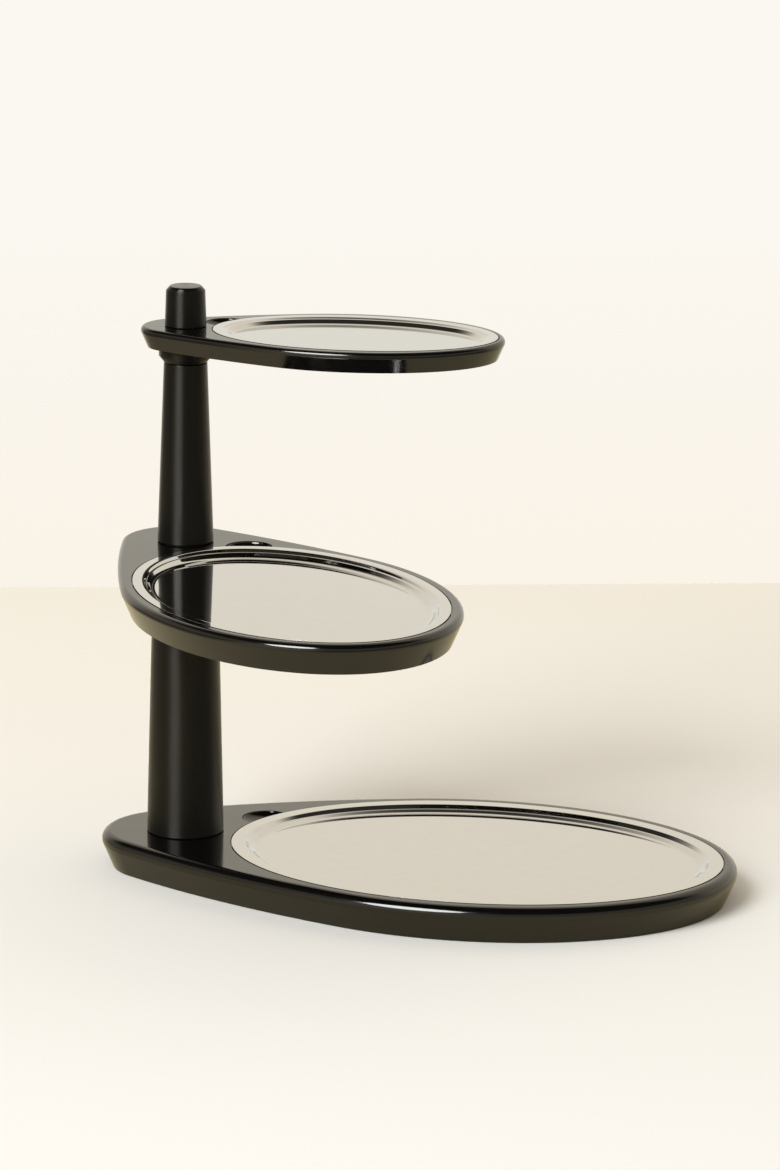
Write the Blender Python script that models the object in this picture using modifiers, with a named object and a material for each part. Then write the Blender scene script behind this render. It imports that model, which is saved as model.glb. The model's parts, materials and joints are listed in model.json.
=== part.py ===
"""Three-tier swivel serving stand, in metres, +Z up.

Three teardrop shelves stand one above the other on a tapered column. The lowest is the
base. The other two turn about the column on sleeves that a tie rod clamps, and each of
the three carries a lift-out oval steel tray. The origin is on the column's axis, at the
level of the table, and +X runs along the base's arm.
"""
import bmesh
import bpy
from math import atan2, cos, hypot, pi, radians, sin, tan
from types import SimpleNamespace

# Clearances and cuts
SEAT_GAP = 0.0003
SWIVEL_GAP = 0.0005
CUT_OVERRUN = 0.002
MERGE_DISTANCE = 0.00001

# Levels
FOOT_STAND = 0.0008
BASE_HEIGHT = 0.0232
MIDDLE_DECK_RISE = 0.1927
MIDDLE_HEIGHT = 0.0195
TOP_DECK_RISE = 0.1406
TOP_HEIGHT = 0.0134
KNOB_HEIGHT = 0.0257

# Turn of each arm at rest, seen from above, counter-clockwise from +X
MIDDLE_TURN = radians(-49.8)
TOP_TURN = radians(2.8)

# Base plan
BASE_TRAY_DISTANCE = 0.1935
BASE_TRAY_HALF_LENGTH = 0.1598
BASE_TRAY_HALF_WIDTH = 0.1130
BASE_END_MARGIN = 0.0088
BASE_SIDE_MARGIN = 0.0106
BASE_NOSE_RADIUS = 0.0483
BASE_NOSE_SETBACK = 0.0060
BASE_SIDE_FULLNESS = radians(7.5)
BASE_EDGE_RADIUS = 0.0058

# Middle shelf plan
MIDDLE_TRAY_DISTANCE = 0.1537
MIDDLE_TRAY_HALF_LENGTH = 0.1298
MIDDLE_TRAY_HALF_WIDTH = 0.0893
MIDDLE_END_MARGIN = 0.0070
MIDDLE_SIDE_MARGIN = 0.0083
MIDDLE_NOSE_RADIUS = 0.0377
MIDDLE_NOSE_SETBACK = 0.0074
MIDDLE_SIDE_FULLNESS = radians(4.0)
MIDDLE_EDGE_RADIUS = 0.0036

# Top shelf plan
TOP_TRAY_DISTANCE = 0.1097
TOP_TRAY_HALF_LENGTH = 0.0912
TOP_TRAY_HALF_WIDTH = 0.0565
TOP_END_MARGIN = 0.0043
TOP_SIDE_MARGIN = 0.0075
TOP_NOSE_RADIUS = 0.0255
TOP_NOSE_SETBACK = 0.0030
TOP_SIDE_FULLNESS = radians(4.6)
TOP_EDGE_RADIUS = 0.0027

# Shelf mouldings
SIDE_LEAN = radians(23.3)
PARTING_LAND = 0.0004
LIP_WIDTH = 0.0016
LEDGE_WIDTH = 0.0020
BASE_COVER_THICKNESS = 0.0025
MIDDLE_COVER_THICKNESS = 0.0020
TOP_COVER_THICKNESS = 0.0016
BASE_FLOOR_THICKNESS = 0.0025
MIDDLE_FLOOR_THICKNESS = 0.0025
TOP_FLOOR_THICKNESS = 0.0020
RIB_THICKNESS = 0.0020
HUB_WALL = 0.0015

# Trays and their recesses
SHEET = 0.0008
RIM_PROUD = 0.0002
TRAY_SIDE_GAP = 0.0006
WELL_SIDE_GAP = 0.0010
BASE_RIM_WIDTH = 0.0100
MIDDLE_RIM_WIDTH = 0.0062
TOP_RIM_WIDTH = 0.0056
BASE_WALL_DROP = 0.0016
MIDDLE_WALL_DROP = 0.0021
TOP_WALL_DROP = 0.0022
BASE_WALL_RUN = 0.0016
MIDDLE_WALL_RUN = 0.0019
TOP_WALL_RUN = 0.0026
SHOULDER_RUN = 0.0022
SHOULDER_DROP = 0.0010
FOOT_BEND_RUN = 0.0046
FOOT_BEND_DROP = 0.0020

# Thumb scoops beside the trays
BASE_SCOOP_RADIUS = 0.0160
MIDDLE_SCOOP_RADIUS = 0.0150
TOP_SCOOP_RADIUS = 0.0130
BASE_SCOOP_OFFSET = 0.0400
MIDDLE_SCOOP_OFFSET = 0.0300
TOP_SCOOP_OFFSET = 0.0170
SCOOP_DEPTH = 0.0070

# Column
LOWER_FOOT_RADIUS = 0.0249
LOWER_NECK_RADIUS = 0.0212
UPPER_FOOT_RADIUS = 0.0180
UPPER_NECK_RADIUS = 0.0139
COLUMN_FOOT_ROUNDING = 0.0010
LOWER_COLUMN_WALL = 0.0050
UPPER_COLUMN_WALL = 0.0045
COLUMN_HEAD_THICKNESS = 0.0160
COLLAR_OVERHANG = 0.0032
COLLAR_CHAMFER_HEIGHT = 0.0040
COLLAR_HEIGHT = 0.0110
SPIGOT_SHARE = 0.76

# Knob
KNOB_FOOT_RADIUS = 0.0128
KNOB_CROWN_RADIUS = 0.0121
KNOB_CHAMFER = 0.0030
KNOB_FOOT_ROUNDING = 0.0005
INSERT_RADIUS = 0.0070
INSERT_LENGTH = 0.0140

# Tie rod and swivel stacks
ROD_RADIUS = 0.0040
BUSH_RADIUS = 0.0070
THRUST_WASHER_THICKNESS = 0.0012
CLAMP_DISC_THICKNESS = 0.0020
POCKET_WALL = 0.0022
BOSS_RADIUS = 0.0120
ROD_WASHER_RADIUS = 0.0100
ROD_WASHER_THICKNESS = 0.0016
NUT_ACROSS_FLATS = 0.0130
NUT_THICKNESS = 0.0040
NUT_CHAMFER = 0.0005

# Cover screws and feet
SCREW_HEAD_RADIUS = 0.0026
SCREW_HEAD_DEPTH = 0.0012
SCREW_SHANK_RADIUS = 0.0013
SCREW_BITE = 0.0024
SCREW_INSET = 0.0095
POST_RADIUS = 0.0040
FOOT_RADIUS = 0.0080
FOOT_THICKNESS = 0.0020
FOOT_CHAMFER = 0.0004
FOOT_INSET = 0.0150

# Counts of facets
NOSE_STEPS = 6
SIDE_STEPS = 3
BIG_END_STEPS = 11
EDGE_STEPS = 3
TRAY_POINTS = 44
COLUMN_STEPS = 30
WASHER_STEPS = 16
FOOT_STEPS = 12
SCOOP_STEPS = 16
SCREW_STEPS = 8
TANGENT_HALVINGS = 50
SIDE_PULL_SHARE = 0.67
SHARP_ANGLE = radians(32)

# Places round an outline, as shares of its length from the arm's tip
BASE_SCREW_SHARES = (0.0, 0.24, 0.42, 0.58, 0.76)
MIDDLE_SCREW_SHARES = (0.11, 0.34, 0.66, 0.89)
TOP_SCREW_SHARES = (0.0, 0.30, 0.70)
FOOT_SHARES = (0.10, 0.30, 0.70, 0.90)


def reset_scene():
    """Empty the scene, and make the collections for the parts and the cutters."""
    for item in list(bpy.data.objects):
        bpy.data.objects.remove(item, do_unlink=True)
    parts = bpy.data.collections.new("swivel_serving_stand")
    tools = bpy.data.collections.new("cutters")
    for collection in (parts, tools):
        bpy.context.scene.collection.children.link(collection)
    return parts, tools


PARTS, CUTTERS = reset_scene()


def material(name, color, roughness, metallic=0.0):
    """A Principled material of one plain finish."""
    finish = bpy.data.materials.new(name)
    finish.use_nodes = True
    shader = finish.node_tree.nodes["Principled BSDF"]
    shader.inputs["Base Color"].default_value = (*color, 1.0)
    shader.inputs["Roughness"].default_value = roughness
    shader.inputs["Metallic"].default_value = metallic
    return finish


GLOSS_BLACK = material("gloss_black_moulding", (0.012, 0.011, 0.010), 0.08)
SATIN_BLACK = material("satin_black_moulding", (0.014, 0.014, 0.013), 0.38)
POLISHED_STEEL = material("polished_stainless_sheet", (0.78, 0.77, 0.74), 0.06, 1.0)
ZINC_STEEL = material("zinc_plated_steel", (0.60, 0.60, 0.58), 0.32, 1.0)
BRASS = material("turned_brass", (0.72, 0.52, 0.22), 0.30, 1.0)
NYLON = material("natural_nylon", (0.80, 0.78, 0.70), 0.45)
RUBBER = material("black_rubber", (0.020, 0.020, 0.020), 0.75)


def empty(name, parent=None, turn=0.0):
    """A turning centre on the column's axis."""
    centre = bpy.data.objects.new(name, None)
    centre.parent = parent
    centre.rotation_euler.z = turn
    PARTS.objects.link(centre)
    return centre


def new_object(name, mesh, finish=None, parent=None):
    """An object for a mesh: a part where it has a finish, and a cutter where it has none."""
    item = bpy.data.objects.new(name, mesh)
    item.parent = parent
    if finish is None:
        CUTTERS.objects.link(item)
        item.hide_render = True
        item.display_type = "WIRE"
    else:
        PARTS.objects.link(item)
        mesh.materials.append(finish)
    return item


def finish_mesh(name, bm):
    """Turn a bmesh into a mesh whose faces point outwards."""
    bmesh.ops.remove_doubles(bm, verts=bm.verts, dist=MERGE_DISTANCE)
    bmesh.ops.recalc_face_normals(bm, faces=bm.faces)
    mesh = bpy.data.meshes.new(name)
    bm.to_mesh(mesh)
    bm.free()
    return mesh


def combine(target, tool, operation):
    """Join, cut or intersect one object with another."""
    change = target.modifiers.new(f"{operation.lower()}_{tool.name}", "BOOLEAN")
    change.operation = operation
    change.object = tool
    change.solver = "EXACT"


def cut(target, *tools):
    for tool in tools:
        combine(target, tool, "DIFFERENCE")


def join(target, *tools):
    for tool in tools:
        combine(target, tool, "UNION")


def turned(name, profile, steps, finish=None, parent=None, place=(0.0, 0.0)):
    """A turned piece: the profile is (radius, height) points, down the outer side first."""
    mesh = bpy.data.meshes.new(name)
    count = len(profile)
    closed = profile[0][0] > 0.0
    edges = [(i, i + 1) for i in range(count - 1)]
    if closed:
        edges.append((count - 1, 0))
    mesh.from_pydata([(radius, 0.0, height) for radius, height in profile], edges, [])
    item = new_object(name, mesh, finish, parent)
    item.location = (place[0], place[1], 0.0)
    spin = item.modifiers.new("turn", "SCREW")
    spin.axis = "Z"
    spin.steps = steps
    spin.render_steps = steps
    spin.use_merge_vertices = True
    spin.merge_threshold = MERGE_DISTANCE
    spin.use_smooth_shade = False
    return item


def ring(name, outer, inner, low, high, steps, finish=None, parent=None, place=(0.0, 0.0)):
    """A flat ring or sleeve between two levels."""
    profile = [(outer, high), (outer, low), (inner, low), (inner, high)]
    return turned(name, profile, steps, finish, parent, place)


def disc(name, radius, low, high, steps, parent=None, place=(0.0, 0.0)):
    """A plain round cutter or boss between two levels."""
    return discs(name, radius, low, high, steps, [place], parent)


def discs(name, radius, low, high, steps, places, parent=None):
    """One tool that holds a round boss at each place."""
    bm = bmesh.new()
    for x, y in places:
        made = bmesh.ops.create_cone(bm, cap_ends=True, segments=steps, radius1=radius,
                                     radius2=radius, depth=high - low)
        bmesh.ops.translate(bm, verts=made["verts"], vec=(x, y, (low + high) / 2))
    return new_object(name, finish_mesh(name, bm), None, parent)


def spaced(start, end, count):
    """Angles from start to end, both included, in equal steps."""
    return [start + (end - start) * i / count for i in range(count + 1)]


def make_shelf(name, deck, height, turn, **sizes):
    """One tier: its sizes, its levels and the drop of its tray."""
    shelf = SimpleNamespace(name=name, deck=deck, height=height, turn=turn, **sizes)
    shelf.bottom = deck - height
    shelf.tray_depth = shelf.wall_drop + SHOULDER_DROP + FOOT_BEND_DROP
    shelf.rim_top = deck + RIM_PROUD
    shelf.rebate_floor = shelf.rim_top - SHEET - SEAT_GAP
    shelf.well_floor = shelf.rebate_floor - shelf.tray_depth
    shelf.ceiling = shelf.well_floor - shelf.floor_thickness
    shelf.cover_top = shelf.bottom + shelf.cover_thickness
    shelf.half_length = shelf.tray_half_length + shelf.end_margin
    shelf.half_width = shelf.tray_half_width + shelf.side_margin
    return shelf


def big_end_point(shelf, angle):
    """The point of the outline's oval end whose outward normal has this angle."""
    reach = hypot(shelf.half_length * cos(angle), shelf.half_width * sin(angle))
    return (shelf.tray_distance + shelf.half_length ** 2 * cos(angle) / reach,
            shelf.half_width ** 2 * sin(angle) / reach)


def nose_point(shelf, angle):
    """A point of the small round end about the column."""
    return (shelf.nose_radius * cos(angle) - shelf.nose_setback,
            shelf.nose_radius * sin(angle))


def tangent_angle(shelf):
    """Normal of the straight line that touches both the nose and the oval end."""
    low, high = pi / 2, pi
    for _ in range(TANGENT_HALVINGS):
        middle = (low + high) / 2
        reach = hypot(shelf.half_length * cos(middle), shelf.half_width * sin(middle))
        oval = shelf.tray_distance * cos(middle) + reach
        nose = shelf.nose_radius - shelf.nose_setback * cos(middle)
        if oval > nose:
            low = middle
        else:
            high = middle
    return (low + high) / 2


def crossing(first, first_angle, second, second_angle):
    """Where the tangents at two outline points meet, given their normals' angles."""
    a = first[0] * cos(first_angle) + first[1] * sin(first_angle)
    b = second[0] * cos(second_angle) + second[1] * sin(second_angle)
    spread = sin(second_angle - first_angle)
    return ((a * sin(second_angle) - b * sin(first_angle)) / spread,
            (b * cos(first_angle) - a * cos(second_angle)) / spread)


def bezier(p, q, r, s, share):
    """A point of a cubic curve with ends p and s and handles q and r."""
    rest = 1 - share
    weights = (rest ** 3, 3 * rest ** 2 * share, 3 * rest * share ** 2, share ** 3)
    return tuple(sum(w * point[i] for w, point in zip(weights, (p, q, r, s))) for i in (0, 1))


def outline(shelf):
    """The teardrop at its widest line: an oval end, full sides and a round nose."""
    lean = tangent_angle(shelf)
    leave, meet = lean - shelf.side_fullness, lean + shelf.side_fullness
    start, end = big_end_point(shelf, leave), nose_point(shelf, meet)
    corner = crossing(start, leave, end, meet)
    pulls = [tuple(point[i] + (corner[i] - point[i]) * SIDE_PULL_SHARE for i in (0, 1))
             for point in (start, end)]
    half = [big_end_point(shelf, angle) for angle in spaced(0.0, leave, BIG_END_STEPS)]
    half += [bezier(start, pulls[0], pulls[1], end, i / SIDE_STEPS) for i in range(1, SIDE_STEPS)]
    half += [nose_point(shelf, angle) for angle in spaced(meet, pi, NOSE_STEPS)]
    return half + [(x, -y) for x, y in reversed(half[1:-1])]


def oval(shelf, growth=0.0):
    """The tray's edge, grown or shrunk evenly."""
    points = []
    for i in range(TRAY_POINTS):
        angle = 2 * pi * i / TRAY_POINTS
        reach = hypot(shelf.tray_half_length * cos(angle), shelf.tray_half_width * sin(angle))
        x = shelf.tray_half_length ** 2 / reach + growth
        y = shelf.tray_half_width ** 2 / reach + growth
        points.append((shelf.tray_distance + x * cos(angle), y * sin(angle)))
    return points


def flat_face(bm, points, level):
    """One face on the points, looking up."""
    face = bm.faces.new([bm.verts.new((x, y, level)) for x, y in points])
    face.normal_update()
    return face


def inset_steps(bm, face, steps):
    """Work a face inwards and outwards along its normal, one (inset, rise) at a time."""
    for inset, rise in steps:
        bmesh.ops.inset_region(bm, faces=[face], thickness=inset, depth=rise,
                               use_even_offset=True, use_boundary=True)


def raised(bm, points, low, high):
    """A slab between two levels: gives its lower and its upper face."""
    lower = flat_face(bm, points, low)
    made = bmesh.ops.extrude_face_region(bm, geom=[lower])["geom"]
    upper = next(item for item in made if isinstance(item, bmesh.types.BMFace))
    bmesh.ops.translate(bm, verts=upper.verts[:], vec=(0.0, 0.0, high - low))
    bm.normal_update()
    return lower, upper


def slab(name, points, low, high, finish=None, parent=None, upper_steps=(), lower_steps=()):
    """A flat piece whose two faces may be worked further."""
    bm = bmesh.new()
    lower, upper = raised(bm, points, low, high)
    inset_steps(bm, upper, upper_steps)
    inset_steps(bm, lower, lower_steps)
    return new_object(name, finish_mesh(name, bm), finish, parent)


def shrunk(points, amount):
    """The outline moved evenly inwards."""
    bm = bmesh.new()
    face = flat_face(bm, points, 0.0)
    inset_steps(bm, face, [(amount, 0.0)])
    inner = [(vert.co.x, vert.co.y) for vert in face.verts]
    bm.free()
    return inner


def rounding(radius, start, end, count):
    """Steps round an edge, as the surface's normal tips from start to end."""
    angles = spaced(start, end, count)
    return [(radius * (cos(a) - cos(b)), radius * (sin(b) - sin(a)))
            for a, b in zip(angles, angles[1:])]


def side_inset(shelf):
    """How far the foot of the leaning side lies inside the widest line."""
    tucked = shelf.edge_radius * (1 - cos(SIDE_LEAN))
    return tucked + side_drop(shelf) * tan(SIDE_LEAN)


def side_drop(shelf):
    """Height of the straight, leaning part of the side."""
    return shelf.height - shelf.edge_radius * (1 + sin(SIDE_LEAN)) - PARTING_LAND


def walk(points, share):
    """The point at a share of the way round a closed outline."""
    pairs = list(zip(points, points[1:] + points[:1]))
    lengths = [hypot(b[0] - a[0], b[1] - a[1]) for a, b in pairs]
    left = share * sum(lengths)
    for (a, b), length in zip(pairs, lengths):
        if left <= length:
            part = left / length
            return (a[0] + (b[0] - a[0]) * part, a[1] + (b[1] - a[1]) * part)
        left -= length
    return points[0]


def screw_places(shelf):
    """Centres of the cover's screws, an even way inside the shelf's foot."""
    path = shrunk(outline(shelf), side_inset(shelf) + SCREW_INSET)
    return [walk(path, share) for share in shelf.screw_shares]


def shelf_shell(shelf, parent):
    """The moulding: rounded top edge, leaning side, and a hollow underside with a lip."""
    widest = shelf.deck - shelf.edge_radius
    above = rounding(shelf.edge_radius, 0.0, pi / 2, EDGE_STEPS)
    below = rounding(shelf.edge_radius, 0.0, SIDE_LEAN, 1)
    below.append((side_drop(shelf) * tan(SIDE_LEAN), side_drop(shelf)))
    ledge = shelf.cover_thickness + SEAT_GAP
    below += [(LIP_WIDTH, 0.0), (0.0, -ledge), (LEDGE_WIDTH, 0.0),
              (0.0, shelf.bottom + ledge - shelf.ceiling)]
    return slab(f"{shelf.name}_shell" if shelf.name == "base" else f"{shelf.name}_shelf",
                outline(shelf), widest - PARTING_LAND, widest, GLOSS_BLACK, parent, above, below)


def recess_tool(shelf, parent):
    """The stepped oval pocket: a shallow rebate for the rim and a well for the dish."""
    overrun_top = shelf.deck + CUT_OVERRUN
    shoulder = TRAY_SIDE_GAP + shelf.rim_width - WELL_SIDE_GAP
    steps = [(shoulder, 0.0), (0.0, shelf.rebate_floor - shelf.well_floor)]
    return slab(f"{shelf.name}_recess", oval(shelf, TRAY_SIDE_GAP), shelf.rebate_floor,
                overrun_top, None, parent, (), steps)


def scoop_centre(shelf):
    """On the tray's edge, to the left of the arm."""
    share = shelf.scoop_offset / shelf.tray_half_width
    reach = shelf.tray_half_length * (1 - share ** 2) ** 0.5
    return (shelf.tray_distance - reach, shelf.scoop_offset)


def scoop_tool(shelf, parent):
    """A dished round hollow that lets a fingertip under the tray's rim."""
    bm = bmesh.new()
    bmesh.ops.create_uvsphere(bm, u_segments=SCOOP_STEPS, v_segments=SCREW_STEPS, radius=1.0)
    depth = min(SCOOP_DEPTH, shelf.deck - shelf.well_floor)
    radius = shelf.scoop_radius
    bmesh.ops.scale(bm, verts=bm.verts, vec=(radius, radius, depth))
    x, y = scoop_centre(shelf)
    bmesh.ops.translate(bm, verts=bm.verts, vec=(x, y, shelf.deck))
    name = f"{shelf.name}_scoop"
    return new_object(name, finish_mesh(name, bm), None, parent)


def post_tools(shelf, parent):
    """Screw posts under the floor, and the pilot holes in them."""
    places = screw_places(shelf)
    foot = shelf.cover_top + SEAT_GAP
    bite = shelf.bottom + SCREW_HEAD_DEPTH + SCREW_BITE + SEAT_GAP
    top = max(bite, foot + CUT_OVERRUN) + SEAT_GAP
    posts = discs(f"{shelf.name}_posts", POST_RADIUS, foot,
                  shelf.ceiling + min(shelf.floor_thickness, CUT_OVERRUN) / 2, SCREW_STEPS,
                  places, parent)
    pilots = discs(f"{shelf.name}_pilots", SCREW_SHANK_RADIUS + SEAT_GAP, foot - CUT_OVERRUN,
                   top, SCREW_STEPS, places, parent)
    return posts, pilots


def cover(shelf, parent, hole_radius=0.0):
    """The plate that closes the underside, with countersunk holes for its screws."""
    edge = shrunk(outline(shelf), side_inset(shelf) + LIP_WIDTH + SEAT_GAP)
    plate = slab(f"{shelf.name}_cover", edge, shelf.bottom, shelf.cover_top, SATIN_BLACK, parent)
    if hole_radius > 0.0:
        cut(plate, disc(f"{shelf.name}_cover_hole", hole_radius, shelf.bottom - CUT_OVERRUN,
                        shelf.cover_top + CUT_OVERRUN, COLUMN_STEPS, parent))
    for i, place in enumerate(screw_places(shelf), 1):
        cut(plate, screw_tool(shelf, f"{shelf.name}_sink_{i}", place, parent))
        screw(shelf, f"{shelf.name}_cover_screw_{i}", place, parent)
    return plate


def screw_tool(shelf, name, place, parent):
    """The countersunk hole of one screw."""
    head = SCREW_HEAD_RADIUS + SEAT_GAP
    shank = SCREW_SHANK_RADIUS + SEAT_GAP
    neck = shelf.bottom + SCREW_HEAD_DEPTH + SEAT_GAP
    high, low = shelf.cover_top + CUT_OVERRUN, shelf.bottom - CUT_OVERRUN
    profile = [(0.0, high), (shank, high), (shank, neck), (head, shelf.bottom + SEAT_GAP),
               (head, low), (0.0, low)]
    return turned(name, profile, SCREW_STEPS, None, parent, place)


def screw(shelf, name, place, parent):
    """A countersunk screw, its head flush with the cover."""
    neck = shelf.bottom + SCREW_HEAD_DEPTH
    tip = neck + SCREW_BITE
    profile = [(0.0, tip), (SCREW_SHANK_RADIUS, tip), (SCREW_SHANK_RADIUS, neck),
               (SCREW_HEAD_RADIUS, shelf.bottom), (0.0, shelf.bottom)]
    return turned(name, profile, SCREW_STEPS, ZINC_STEEL, parent, place)


def tray(shelf, parent):
    """A pressed oval dish: flat rim, a wall between two easy bends, and a flat floor."""
    bm = bmesh.new()
    floor = flat_face(bm, oval(shelf), shelf.rim_top)
    inset_steps(bm, floor, [(shelf.rim_width, 0.0), (SHOULDER_RUN, -SHOULDER_DROP),
                            (shelf.wall_run, -shelf.wall_drop),
                            (FOOT_BEND_RUN, -FOOT_BEND_DROP)])
    mesh = bpy.data.meshes.new(f"{shelf.name}_tray")
    bm.to_mesh(mesh)
    bm.free()
    dish = new_object(f"{shelf.name}_tray", mesh, POLISHED_STEEL, parent)
    sheet = dish.modifiers.new("sheet", "SOLIDIFY")
    sheet.thickness = SHEET
    sheet.offset = -1.0
    sheet.use_even_offset = True
    return dish


def box_tool(name, low, high, parent=None):
    """A rectangular tool between two corners."""
    bm = bmesh.new()
    bmesh.ops.create_cube(bm, size=1.0)
    size = [b - a for a, b in zip(low, high)]
    bmesh.ops.scale(bm, verts=bm.verts, vec=size)
    bmesh.ops.translate(bm, verts=bm.verts, vec=[(a + b) / 2 for a, b in zip(low, high)])
    return new_object(name, finish_mesh(name, bm), None, parent)


def rib_tools(shelf, hub_radius, parent):
    """A spine from the hub to the tip, and a cross rib under the tray's middle."""
    foot = shelf.cover_top + SEAT_GAP
    top = shelf.ceiling + shelf.floor_thickness / 2
    half = RIB_THICKNESS / 2
    inner = side_inset(shelf) + LIP_WIDTH + LEDGE_WIDTH / 2
    tip = shelf.tray_distance + shelf.half_length - inner - SCREW_INSET
    reach = shelf.half_width - inner
    spine = box_tool(f"{shelf.name}_spine", (hub_radius - half, -half, foot), (tip, half, top),
                     parent)
    middle = shelf.tray_distance
    cross = box_tool(f"{shelf.name}_cross_rib", (middle - half, -reach, foot),
                     (middle + half, reach, top), parent)
    return spine, cross


def thrust_pocket():
    """Depth of the pocket that holds a thrust washer beside a swivelling face."""
    return THRUST_WASHER_THICKNESS + 2 * SEAT_GAP - SWIVEL_GAP


def disc_pocket():
    """Depth of the pocket that holds a thrust washer and a clamp disc over a deck."""
    return THRUST_WASHER_THICKNESS + CLAMP_DISC_THICKNESS + 3 * SEAT_GAP - SWIVEL_GAP


def swivel_stack(shelf, lower_radius, upper_radius, parent):
    """What a shelf turns on: a sleeve, a washer under it, and a washer and disc above."""
    bore = BUSH_RADIUS + SEAT_GAP
    name = shelf.name
    low = shelf.bottom - SEAT_GAP - THRUST_WASHER_THICKNESS
    ring(f"{name}_lower_washer", lower_radius, bore, low, shelf.bottom - SEAT_GAP, WASHER_STEPS,
         NYLON, parent)
    high = shelf.deck + SEAT_GAP + THRUST_WASHER_THICKNESS
    ring(f"{name}_upper_washer", upper_radius, bore, shelf.deck + SEAT_GAP, high, WASHER_STEPS,
         NYLON, parent)
    ring(f"{name}_bush", BUSH_RADIUS, ROD_RADIUS + SEAT_GAP, low, high, WASHER_STEPS, ZINC_STEEL,
         parent)
    ring(f"{name}_clamp_disc", upper_radius, ROD_RADIUS + SEAT_GAP, high + SEAT_GAP,
         high + SEAT_GAP + CLAMP_DISC_THICKNESS, WASHER_STEPS, ZINC_STEEL, parent)


def column(name, foot, foot_radius, head, neck_radius, wall, pocket_radius, parent):
    """A tapered, hollow section with a spigot on its head for the collar."""
    shoulder = head - COLLAR_HEIGHT
    spigot = neck_radius * SPIGOT_SHARE
    top = head - thrust_pocket()
    crown = head - COLUMN_HEAD_THICKNESS
    taper = (foot_radius - neck_radius) / (shoulder - foot)
    rim = foot_radius - taper * COLUMN_FOOT_ROUNDING
    bore = ROD_RADIUS + SEAT_GAP
    profile = [(spigot, top), (spigot, shoulder), (neck_radius, shoulder),
               (rim, foot + COLUMN_FOOT_ROUNDING), (foot_radius - COLUMN_FOOT_ROUNDING, foot)]
    inner = foot_radius - wall
    if pocket_radius > 0.0:
        pocket = foot + disc_pocket()
        inner = min(inner, pocket_radius - POCKET_WALL)
        profile += [(pocket_radius, foot), (pocket_radius, pocket), (inner, pocket)]
    else:
        profile += [(inner, foot)]
    profile += [(max(neck_radius - wall, bore + POCKET_WALL), crown), (bore, crown), (bore, top)]
    return turned(name, profile, COLUMN_STEPS, SATIN_BLACK, parent)


def collar(name, head, neck_radius, washer_radius, parent):
    """The flared ring on a column's head that a shelf turns over."""
    outer = neck_radius + COLLAR_OVERHANG
    spigot = neck_radius * SPIGOT_SHARE + SEAT_GAP
    foot = head - COLLAR_HEIGHT + SEAT_GAP
    flare = foot + COLLAR_CHAMFER_HEIGHT
    floor = head - thrust_pocket()
    pocket = washer_radius + SEAT_GAP
    profile = [(outer, head), (outer, flare), (neck_radius, foot), (spigot, foot),
               (spigot, floor), (pocket, floor), (pocket, head)]
    return turned(name, profile, COLUMN_STEPS, SATIN_BLACK, parent)


def knob(deck, washer_radius, parent):
    """The cap over the rod's end, with its brass insert."""
    foot = deck + SWIVEL_GAP
    top = deck + KNOB_HEIGHT
    shoulder = top - KNOB_CHAMFER
    pocket = washer_radius + SEAT_GAP
    floor = foot + disc_pocket()
    bore = INSERT_RADIUS + SEAT_GAP
    end = floor + INSERT_LENGTH + SEAT_GAP
    profile = [(0.0, top), (KNOB_CROWN_RADIUS - KNOB_CHAMFER, top), (KNOB_CROWN_RADIUS, shoulder),
               (KNOB_FOOT_RADIUS, foot + KNOB_FOOT_ROUNDING),
               (KNOB_FOOT_RADIUS - KNOB_FOOT_ROUNDING, foot), (pocket, foot), (pocket, floor),
               (bore, floor), (bore, end), (0.0, end)]
    turned("knob", profile, COLUMN_STEPS, SATIN_BLACK, parent)
    ring("knob_insert", INSERT_RADIUS, ROD_RADIUS + SEAT_GAP, floor, floor + INSERT_LENGTH,
         WASHER_STEPS, BRASS, parent)
    return floor + INSERT_LENGTH


def hex_nut(name, low, parent):
    """A thin hexagon nut with chamfered corners."""
    high = low + NUT_THICKNESS
    corner = NUT_ACROSS_FLATS / 2 / cos(pi / 6)
    bm = bmesh.new()
    made = bmesh.ops.create_cone(bm, cap_ends=True, segments=6, radius1=corner, radius2=corner,
                                 depth=NUT_THICKNESS)
    bmesh.ops.translate(bm, verts=made["verts"], vec=(0.0, 0.0, (low + high) / 2))
    nut = new_object(name, finish_mesh(name, bm), ZINC_STEEL, parent)
    inside = corner - NUT_CHAMFER
    profile = [(0.0, high), (inside, high), (corner + NUT_CHAMFER, high - NUT_CHAMFER * 2),
               (corner + NUT_CHAMFER, low + NUT_CHAMFER * 2), (inside, low), (0.0, low)]
    combine(nut, turned(f"{name}_blank", profile, WASHER_STEPS, None, parent), "INTERSECT")
    cut(nut, disc(f"{name}_bore", ROD_RADIUS + SEAT_GAP, low - CUT_OVERRUN, high + CUT_OVERRUN,
                  WASHER_STEPS, parent))
    return nut


def foot_pad(name, place, parent):
    """A rubber disc, set into the base's cover."""
    profile = [(0.0, FOOT_THICKNESS), (FOOT_RADIUS, FOOT_THICKNESS), (FOOT_RADIUS, FOOT_CHAMFER),
               (FOOT_RADIUS - FOOT_CHAMFER, 0.0), (0.0, 0.0)]
    return turned(name, profile, FOOT_STEPS, RUBBER, parent, place)


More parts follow.
